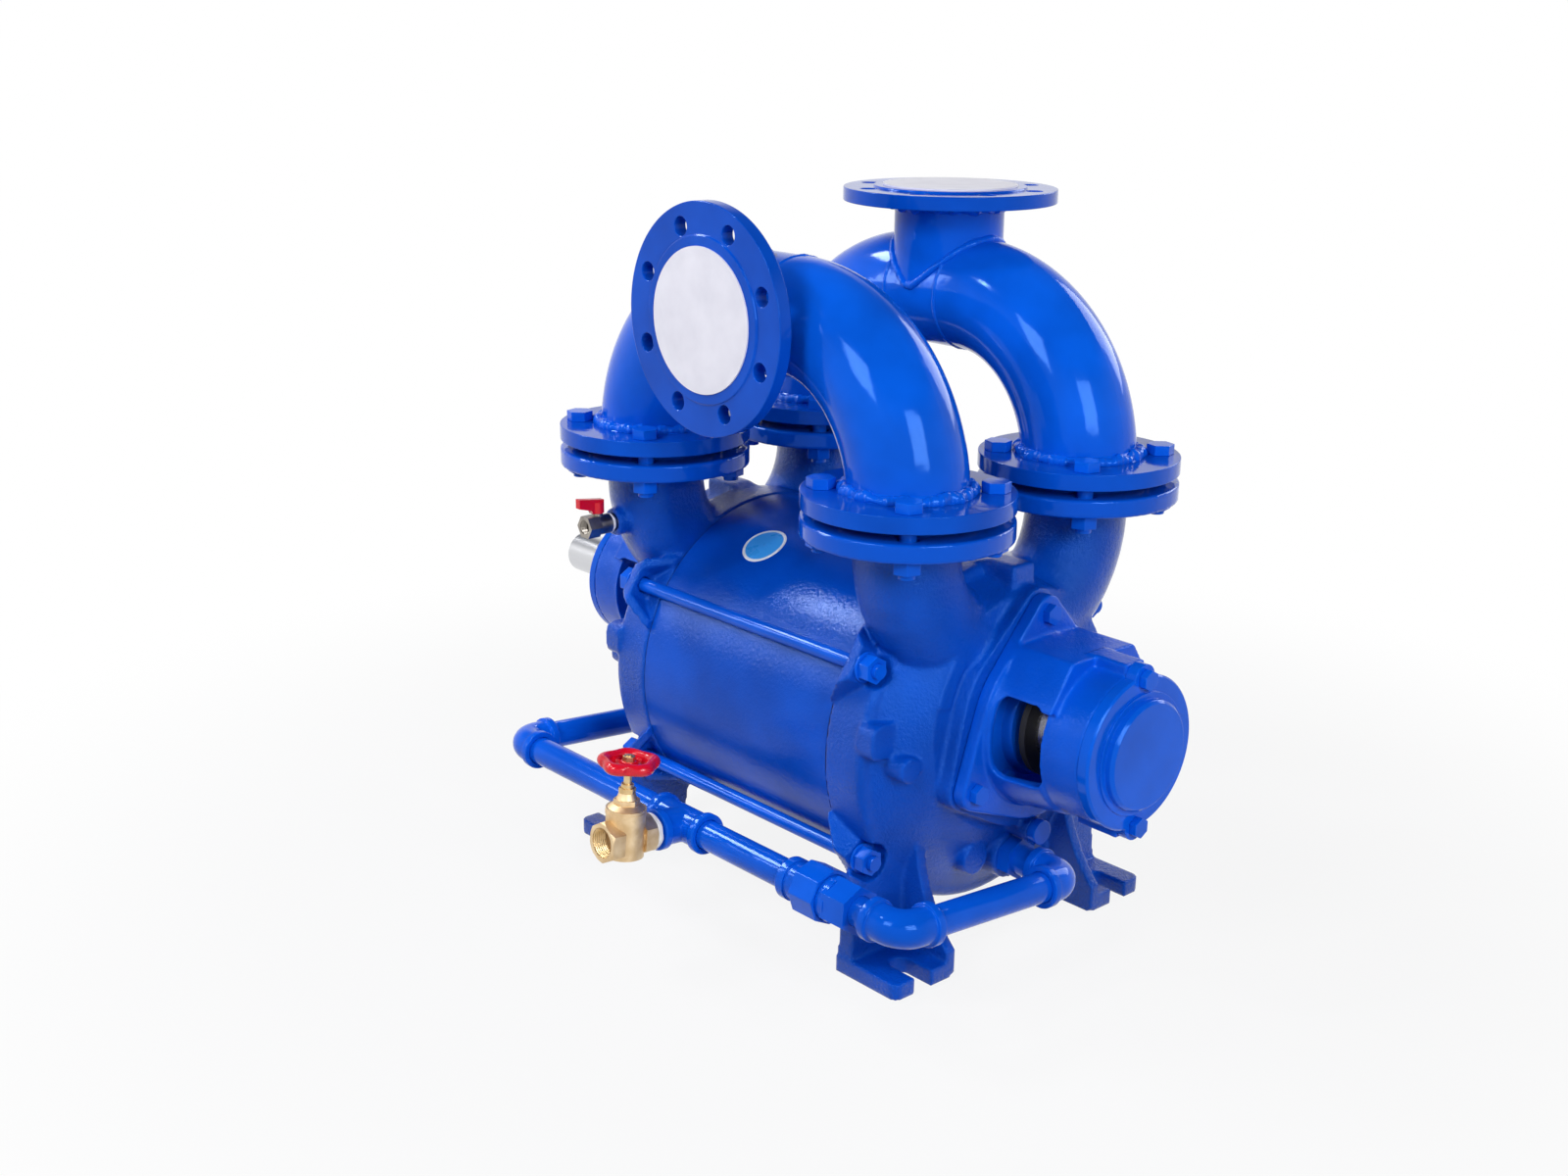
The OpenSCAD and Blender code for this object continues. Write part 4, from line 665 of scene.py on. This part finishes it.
def ring_path(centre, axis, radius, count):
    """Points on a circle about an axis, with the outward and the along-axis directions at each."""
    axis = np.array(axis, float)
    side = np.cross(axis, [0.3, 0.5, 0.8])
    side /= np.linalg.norm(side)
    other = np.cross(axis, side)
    angle = np.linspace(0, 2 * np.pi, count, endpoint=False)
    outward = np.outer(np.cos(angle), side) + np.outer(np.sin(angle), other)
    return angle, np.array(centre) + radius * outward, outward, np.broadcast_to(axis, outward.shape)


def bead(name, path, size, seed, ragged=1.3, puddle=6.0):
    """A weld bead: an ellipse swept along the path, uneven in width and height, rippled every puddle mm."""
    angle, centre, outward, along = path
    length = np.linalg.norm(np.roll(centre, -1, 0) - centre, axis=1).sum()
    puddles = max(8, int(round(length / (puddle * MM))))
    saw = np.mod(angle * puddles / (2 * np.pi) + lumps(angle, seed + 1, np.arange(3, 9), 0.35), 1.0)
    ripple = 0.95 + 0.10 * np.sin(np.pi * saw)
    wide = size * ripple * (1 + lumps(angle, seed, np.arange(3, 34), ragged))
    tall = size * ripple * (1 + lumps(angle, seed + 3, np.arange(2, 22), 0.8 * ragged))
    wander = lumps(angle, seed + 2, np.arange(2, 12), 0.3) * size
    profile = np.linspace(0, 2 * np.pi, 14, endpoint=False)
    middle = centre + along * wander[:, None]
    points = (middle[:, None]
              + wide[:, None, None] * np.cos(profile)[None, :, None] * outward[:, None]
              + tall[:, None, None] * np.sin(profile)[None, :, None] * along[:, None])
    return closed_grid(name, points, "pump", pipe_enamel)


WELD_R = 5.9 * MM
WELD_POINTS = 420
PORT_WELD_OUT, PORT_WELD_UP = 1.8 * MM, 2.2 * MM
FLANGE_WELD_OUT, FLANGE_WELD_UP = 1 * MM, 2 * MM
seed = 1
for side, y in (("suction", -PORT_Y), ("discharge", PORT_Y)):
    for end, x in (("free", PORT_X), ("drive", -PORT_X)):
        place = (x, y, PORT_TOP + PORT_WELD_UP)
        path = ring_path(place, (0, 0, 1), PIPE_R + PORT_WELD_OUT, WELD_POINTS)
        bead(f"weld_{side}_{end}", path, WELD_R, seed)
        seed += 5
place = (0, SUCTION_BACK + FLANGE_WELD_UP, RUN_Z)
path = ring_path(place, (0, 1, 0), PIPE_R + FLANGE_WELD_OUT, WELD_POINTS)
bead("weld_suction_flange", path, WELD_R, seed)
place = (0, PORT_Y, DISCHARGE_BACK - FLANGE_WELD_UP)
path = ring_path(place, (0, 0, 1), PIPE_R + FLANGE_WELD_OUT, WELD_POINTS)
bead("weld_discharge_flange", path, WELD_R, seed + 5)
print("flange welds laid, ports at", round(PORT_X / MM, 1), "mm")

# %% [markdown]
# The elbows are butt-welded to the short run, and the branch is set on the run's side along the curve
# where two equal pipes cross: at each angle round the branch, the run's wall lies at the square root
# of the run's radius squared less the height squared.

# %% Butt and saddle welds
BUTT_X = PORT_X - ELBOW_R
BUTT_POINTS = 300
BUTT_SINK, BUTT_R = 1.4 * MM, 2.6 * MM
SADDLE_SINK, SADDLE_R = 0.6 * MM, 4.2 * MM
SADDLE_LEAST = 9 * MM
for side, y in (("suction", -PORT_Y), ("discharge", PORT_Y)):
    for end, x in (("free", BUTT_X), ("drive", -BUTT_X)):
        seed += 5
        path = ring_path((x, y, RUN_Z), (1, 0, 0), PIPE_R - BUTT_SINK, BUTT_POINTS)
        bead(f"butt_weld_{side}_{end}", path, BUTT_R, seed, ragged=0.5, puddle=4.0)


def saddle_path(origin, branch, count):
    """The crossing of two pipes: a circle round the branch, pushed out along it to the run's wall."""
    branch = np.array(branch, float)
    across = np.cross(branch, [1, 0, 0])
    angle = np.linspace(0, 2 * np.pi, count, endpoint=False)
    radius = PIPE_R - SADDLE_SINK
    high = radius * np.sin(angle)
    out = np.sqrt(np.maximum(PIPE_R ** 2 - high ** 2, SADDLE_LEAST ** 2))
    ring = np.outer(np.cos(angle), [1, 0, 0]) + np.outer(np.sin(angle), across)
    centre = np.array(origin) + radius * ring + np.outer(out, branch)
    return angle, centre, ring, np.broadcast_to(branch, ring.shape)


path = saddle_path((0, -PORT_Y, RUN_Z), (0, -1, 0), WELD_POINTS)
bead("saddle_weld_suction", path, SADDLE_R, 301, ragged=0.5, puddle=5.0)
path = saddle_path((0, PORT_Y, RUN_Z), (0, 0, 1), WELD_POINTS)
bead("saddle_weld_discharge", path, SADDLE_R, 302, ragged=0.5, puddle=5.0)
print("butt and saddle welds laid")

# %% [markdown]
# ## Gate valve and handwheel
# The water line tilts a little, so the valve is worked on in a level frame and then tilted. Its
# hexagon ends were turned on a lathe, which runs their corners out in a cone. A bevel would cut all the
# edges alike, so a ring turned about the flow axis, from the hexagon's flats at each end to well past its
# corners, keeps only what lies inside. The wheel's rim swells into five finger lobes: the radius grows by
# a cosine of five times the angle.

# %% The water line's level frame
WATER_Z = 88 * MM
WATER_TILT = math.radians(4.8)
TILT = np.array([[1, 0, 0],
                 [0, math.cos(WATER_TILT), math.sin(WATER_TILT)],
                 [0, -math.sin(WATER_TILT), math.cos(WATER_TILT)]])
TEE_X = -10 * MM
VALVE_Y = -302 * MM


def water_point(points):
    """Points of the level water line turned by its tilt and lifted to the port's height."""
    return points @ TILT.T + np.array([0, 0, WATER_Z])


def level_point(points):
    """The way back: points of the tilted water line in its level frame."""
    return (points - np.array([0, 0, WATER_Z])) @ TILT


there_and_back = level_point(water_point(np.ones(3)))
print("level frame off by", float(np.abs(there_and_back - 1).max()))

# %% Gate valve
VALVE_HALF = 28 * MM
END_SHARE, SHOULDER_SHARE = 1.001, 0.9
BORE_MM, FLAT_MM, CORNER_MM, FAR_MM = 5, 19.4, 22.5, 90
RING_STEPS = 96


def chamfered_valve():
    """The valve body cut by a ring about its flow axis, whose ends slope in to the hexagon's flats."""
    end = [(-END_SHARE, BORE_MM), (-END_SHARE, FLAT_MM),
           (-SHOULDER_SHARE, CORNER_MM), (-SHOULDER_SHARE, FAR_MM)]
    profile = np.array(end + [(-share, radius) for share, radius in reversed(end)])
    turn = np.linspace(0, 2 * np.pi, RING_STEPS, endpoint=False)[:, None]
    y = VALVE_Y + VALVE_HALF * np.broadcast_to(profile[:, 0], (RING_STEPS, len(profile)))
    points = np.stack([TEE_X + profile[:, 1] * MM * np.cos(turn), y, profile[:, 1] * MM * np.sin(turn)], -1)
    ring = grid_object("turned_ring", water_point(points))
    valve = eased("gate_valve_body", 0.7)
    cut = valve.modifiers.new("turned", "BOOLEAN")
    cut.operation = "INTERSECT"
    cut.object = ring
    valve.modifiers.move(len(valve.modifiers) - 1, 0)
    apply_modifiers(valve)
    bpy.data.objects.remove(ring)
    return valve


print("valve faces", len(chamfered_valve().data.polygons))

# %% Handwheel
LOBES, LOBE_RISE = 5, 2.0 * MM


def lobed_wheel():
    """A rounded copy whose rim grows by the lobes' rise times the cosine of five times the angle."""
    wheel = casting("handwheel", "wheel_casting", lambda points: np.ones(len(points)), **WHEEL_CASTING)
    level = level_point(mesh_points(wheel.data))
    x, y = level[:, 0] - TEE_X, level[:, 1] - VALVE_Y
    radius = np.hypot(x, y)
    rise = LOBE_RISE * np.cos(LOBES * np.arctan2(y, x)) * step(radius, 16 * MM, 25 * MM)
    grow = rise / np.maximum(radius, MM)
    level[:, 0] += x * grow
    level[:, 1] += y * grow
    wheel.data.vertices.foreach_set("co", water_point(level).ravel())
    wheel.data.update()
    return wheel


print("wheel faces", len(lobed_wheel().data.polygons))

# %% [markdown]
# ## Thread tape
# White tape is wound over the pipe threads before they are screwed in, and a band of it is left
# showing beside both valves. A plain tube would look like a plastic ring, so the band's radius changes
# with the layers underneath, and its edges wander.

# %% Thread tape


def around_y(r, y, angle, centre, tilted):
    """Points at radius r and place y round the Y axis through a centre, level or on the tilted water line."""
    points = np.stack([r * np.cos(angle)[:, None], y, r * np.sin(angle)[:, None]], -1) + np.array(centre)
    return water_point(points) if tilted else points


def tape_band(name, centre, radius, layers_mm, y0, y1, seed, tilted):
    """A closed band round the Y axis: out along the layers with creases, back along the pipe's wall."""
    angle = np.linspace(0, 2 * np.pi, 160, endpoint=False)
    share = np.linspace(0, 1, 22)
    edge = np.sin(np.pi * share) ** 0.35
    crease = 0.25 * (np.sin(18 * share[None, :] + 2 * angle[:, None]) + np.sin(7 * angle[:, None] + seed))
    outer = radius + layers_mm * MM * edge[None, :] * (0.85 + 0.18 * crease)
    y_out = y0 + (y1 - y0) * share[None, :] + lumps(angle, seed, np.arange(2, 9), 0.9 * MM)[:, None]
    inner = np.full((len(angle), 4), radius - 0.4 * MM)
    y_in = np.broadcast_to(np.linspace(y1, y0, 4), inner.shape)
    r = np.concatenate([outer, inner], 1)
    y = np.concatenate([y_out, y_in], 1)
    return closed_grid(name, around_y(r, y, angle, centre, tilted), "pump", thread_tape)


WATER_AXIS = (TEE_X, 0, 0)
VENT_AXIS = (-PORT_X, 0, 376 * MM)
tape_band("tape_gate_valve", WATER_AXIS, radius=15 * MM, layers_mm=4.6, y0=-275 * MM, y1=-266.5 * MM,
          seed=3, tilted=True)
tape_band("tape_ball_valve", VENT_AXIS, radius=8.3 * MM, layers_mm=2.4, y0=-186 * MM, y1=-180 * MM,
          seed=4, tilted=False)
print("tape on both valves")

# %% [markdown]
# ## Pipe threads
# The open ends of both valves are cut with a pipe thread that catches the light. The wall's radius
# falls and rises in a triangle wave along the axis, and the wave advances one pitch each turn. A Screw
# modifier could wind a profile too, but a grid closes at both ends by itself.

# %% Inner threads


def inner_thread(name, centre, radius, pitch, depth, y0, y1, tilted, material):
    """A closed sleeve round Y: radius less depth times a triangle wave of y / pitch - turn; plain outside."""
    angle = np.linspace(0, 2 * np.pi, 120, endpoint=False)
    count = int(round((y1 - y0) / pitch * 10)) + 1
    y_in = np.linspace(y0, y1, count)
    turn = angle / (2 * np.pi)
    wave = np.abs(2 * np.mod(y_in[None, :] / pitch - turn[:, None], 1.0) - 1)
    fade = step(y_in, y0, y0 + pitch)[None, :]
    inside = radius - depth * wave * fade
    y_out = np.linspace(y1, y0, 4)
    outside = np.full((len(angle), 4), radius + 0.5 * MM)
    r = np.concatenate([inside, outside], 1)
    y = np.broadcast_to(np.concatenate([y_in, y_out]), r.shape)
    return closed_grid(name, around_y(r, y, angle, centre, tilted), "pump", material)


inner_thread("thread_gate_valve", WATER_AXIS, radius=15.2 * MM, pitch=2.3 * MM, depth=1.2 * MM,
             y0=-329.6 * MM, y1=-314.2 * MM, tilted=True, material=turned_brass)
inner_thread("thread_ball_valve", VENT_AXIS, radius=7.5 * MM, pitch=1.3 * MM, depth=0.7 * MM,
             y0=-213.7 * MM, y1=-206.2 * MM, tilted=False, material=nickel_plate)
print("threads cut in both valves")

# %% [markdown]
# ## The round sticker
# A plain round sticker sits high on the barrel, white round the rim and light blue inside. It is a
# disc of polar rings bent round the barrel: along X it is flat, across X the arc length is the angle
# times the radius. An attribute holds each point's share of the radius, and the colour reads that.

# %% Round sticker
BARREL_R = (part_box("casing")[1].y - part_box("casing")[0].y) / 2
BARREL_Z = (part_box("casing")[0].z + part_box("casing")[1].z) / 2
STICKER_X = -53 * MM
STICKER_ANGLE = math.radians(118.8)
STICKER_R = 24.5 * MM
STICKER_BLUE, STICKER_WHITE = "#3a9ded", "#eceff2"
RIM_FROM, RIM_TO = 0.86, 0.88


def sticker_vinyl():
    """Printed vinyl, satin and a little wavy: white past the rim's share of the radius, light blue inside."""
    material, tree = new_material("printed_vinyl")
    share = add(tree, "ShaderNodeAttribute", {"attribute_name": "share"}).outputs["Fac"]
    blue, white = linear(STICKER_BLUE), linear(STICKER_WHITE)
    stops = (0.0, blue), (RIM_FROM, blue), (RIM_TO, white)
    colour = add(tree, "ShaderNodeValToRGB", stops=stops, Fac=share).outputs["Color"]
    gloss_level = uneven_gloss(tree, 12, 0.22, 0.14, detail=3)
    shader = add(tree, "ShaderNodeBsdfPrincipled", Base_Color=colour, Roughness=gloss_level,
                 Normal=grainy_normal(tree, 9, 0.1, detail=2, strength=0.4))
    finish_material(tree, shader.outputs["BSDF"])
    return material


def round_sticker():
    """Rings of radius r at angle t: X moves by r cos t, the barrel angle by r sin t / barrel radius."""
    share = np.concatenate([np.linspace(0.02, 1, 26), np.linspace(1, 0.02, 6)])
    lift = np.concatenate([np.full(26, 0.35), np.full(6, -0.6)]) * MM
    turn = np.linspace(0, 2 * np.pi, 96, endpoint=False)
    r = share[None, :] * STICKER_R
    x = STICKER_X + r * np.cos(turn)[:, None]
    angle = STICKER_ANGLE + r * np.sin(turn)[:, None] / BARREL_R
    radius = BARREL_R + lift[None, :]
    points = np.stack([x, radius * np.cos(angle), BARREL_Z + radius * np.sin(angle)], -1)
    piece = closed_grid("round_sticker", points, "pump", sticker_vinyl())
    values = np.broadcast_to(share, (len(turn), len(share))).astype(np.float32).ravel()
    piece.data.attributes.new("share", "FLOAT", "POINT").data.foreach_set("value", values)
    return piece


round_sticker()
print("sticker on the barrel at radius", round(BARREL_R / MM, 1), "mm")

# %% [markdown]
# ## Floor and light
# The pump stands on a white studio floor. A key lamp hangs high in front, a second one lights the
# bearing end from the right, a small one behind the drive end glances off the barrel, and a wide one
# at the rear lifts the far side. A narrow strip and a small spot draw streaks and sparkles on the
# gloss. A sky picture could light it too, but lamps go where the highlights in the photograph show them.
# Near the pump the floor keeps a share of lit paint, which carries the shadow, and it fades to
# pure white further out, so that no horizon shows.

# %% Floor
FLOOR_SIZE = 12.0
FADE_FROM, FADE_TO = 0.55, 1.25
NEAR_WHITE = 0.88
FLOOR_PAINT = "#bcbdc0"


def seen_rays(tree):
    """The largest of three flags: 1 for camera, glossy and transmission rays, 0 for rays that only light."""
    path = add(tree, "ShaderNodeLightPath").outputs
    largest = {"operation": "MAXIMUM"}
    mirrored = add(tree, "ShaderNodeMath", largest, i0=path["Is Camera Ray"], i1=path["Is Glossy Ray"])
    seen = add(tree, "ShaderNodeMath", largest, i0=mirrored.outputs["Value"], i1=path["Is Transmission Ray"])
    return seen.outputs["Value"]


def floor_material():
    """Pale floor: mostly white to seen rays, with some lit paint near the pump so that shadows show."""
    material, tree = new_material("pale_studio_floor")
    coords = add(tree, "ShaderNodeTexCoord").outputs["Object"]
    distance = add(tree, "ShaderNodeVectorMath", {"operation": "LENGTH"}, i0=coords).outputs["Value"]
    far = add(tree, "ShaderNodeMapRange", {"interpolation_type": "SMOOTHSTEP"}, Value=distance,
              From_Min=FADE_FROM, From_Max=FADE_TO, To_Min=NEAR_WHITE, To_Max=1.0).outputs["Result"]
    share = add(tree, "ShaderNodeMath", {"operation": "MULTIPLY"}, i0=seen_rays(tree),
                i1=far).outputs["Value"]
    paint = add(tree, "ShaderNodeBsdfDiffuse", Color=linear(FLOOR_PAINT)).outputs["BSDF"]
    white = add(tree, "ShaderNodeEmission", Color=(1, 1, 1, 1), Strength=1.0).outputs["Emission"]
    finish_material(tree, add(tree, "ShaderNodeMixShader", i0=share, i1=paint, i2=white).outputs["Shader"])
    return material


half = FLOOR_SIZE / 2
floor_mesh = bpy.data.meshes.new("floor")
corners = [(-half, -half, 0), (half, -half, 0), (half, half, 0), (-half, half, 0)]
floor_mesh.from_pydata(corners, [], [(0, 1, 2, 3)])
floor_mesh.materials.append(floor_material())
floor = bpy.data.objects.new("floor", floor_mesh)
bpy.context.scene.collection.objects.link(floor)
print("floor", FLOOR_SIZE, "m wide")

# %% Lamps


def area_lamp(name, place, target, width, height, watts):
    """A lamp panel at a place that faces a target: its -Z axis runs along the line between them."""
    lamp = bpy.data.lights.new(name, "AREA")
    lamp.shape = "RECTANGLE"
    lamp.energy = watts
    lamp.size = width
    lamp.size_y = height
    holder = bpy.data.objects.new(name, lamp)
    bpy.context.scene.collection.objects.link(holder)
    away = np.array(place, float) - np.array(target, float)
    away /= np.linalg.norm(away)
    side = np.cross([0, 0, 1], away)
    side /= np.linalg.norm(side)
    matrix = np.eye(4)
    matrix[:3, 0] = side
    matrix[:3, 1] = np.cross(away, side)
    matrix[:3, 2] = away
    matrix[:3, 3] = place
    holder.matrix_world = Matrix(matrix.tolist())
    return holder


MIDDLE = (0, 0, 0.4)
LAMPS = {
    # place, width and height in metres, then watts
    "lamp_key": ((0.3, -2.4, 2.0), 0.9, 0.9, 36),
    "lamp_right": ((2.4, -0.7, 1.4), 1.1, 1.1, 46),
    "lamp_back": ((-1.9, -0.75, 2.15), 0.9, 0.36, 30),
    "lamp_rear": ((0.3, 2.6, 1.6), 1.4, 1.4, 26),
    "lamp_strip": ((-1.85, -1.7, 1.35), 0.2, 1.2, 10),
    "lamp_spark": ((-1.0, -1.7, 2.6), 0.26, 0.26, 13),
}
for name, (place, width, height, watts) in LAMPS.items():
    area_lamp(name, place, MIDDLE, width, height, watts)
print(len(LAMPS), "lamps,", sum(watts for _, _, _, watts in LAMPS.values()), "W in all")

# %% Sky
SKY_BLUE, SKY_STRENGTH = "#dfe5ee", 0.1
CEILING_FROM, CEILING_TO = 0.36, 0.62
CEILING_GREY = "#4a5260"


def studio_world():
    """A faint pale sky for light; seen rays find a white sweep under a dim ceiling."""
    world = bpy.data.worlds.new("studio")
    world.use_nodes = True
    tree = world.node_tree
    tree.nodes.clear()
    sky = add(tree, "ShaderNodeBackground", Color=linear(SKY_BLUE),
              Strength=SKY_STRENGTH).outputs["Background"]
    toward = add(tree, "ShaderNodeTexCoord").outputs["Generated"]
    height = add(tree, "ShaderNodeSeparateXYZ", Vector=toward).outputs["Z"]
    stops = (CEILING_FROM, (1, 1, 1, 1)), (CEILING_TO, linear(CEILING_GREY))
    sweep = add(tree, "ShaderNodeValToRGB", stops=stops, Fac=height).outputs["Color"]
    white = add(tree, "ShaderNodeBackground", Color=sweep, Strength=1.0).outputs["Background"]
    mixed = add(tree, "ShaderNodeMixShader", i0=seen_rays(tree), i1=sky, i2=white).outputs["Shader"]
    add(tree, "ShaderNodeOutputWorld", Surface=mixed)
    bpy.context.scene.world = world


studio_world()
print("sky at strength", SKY_STRENGTH)
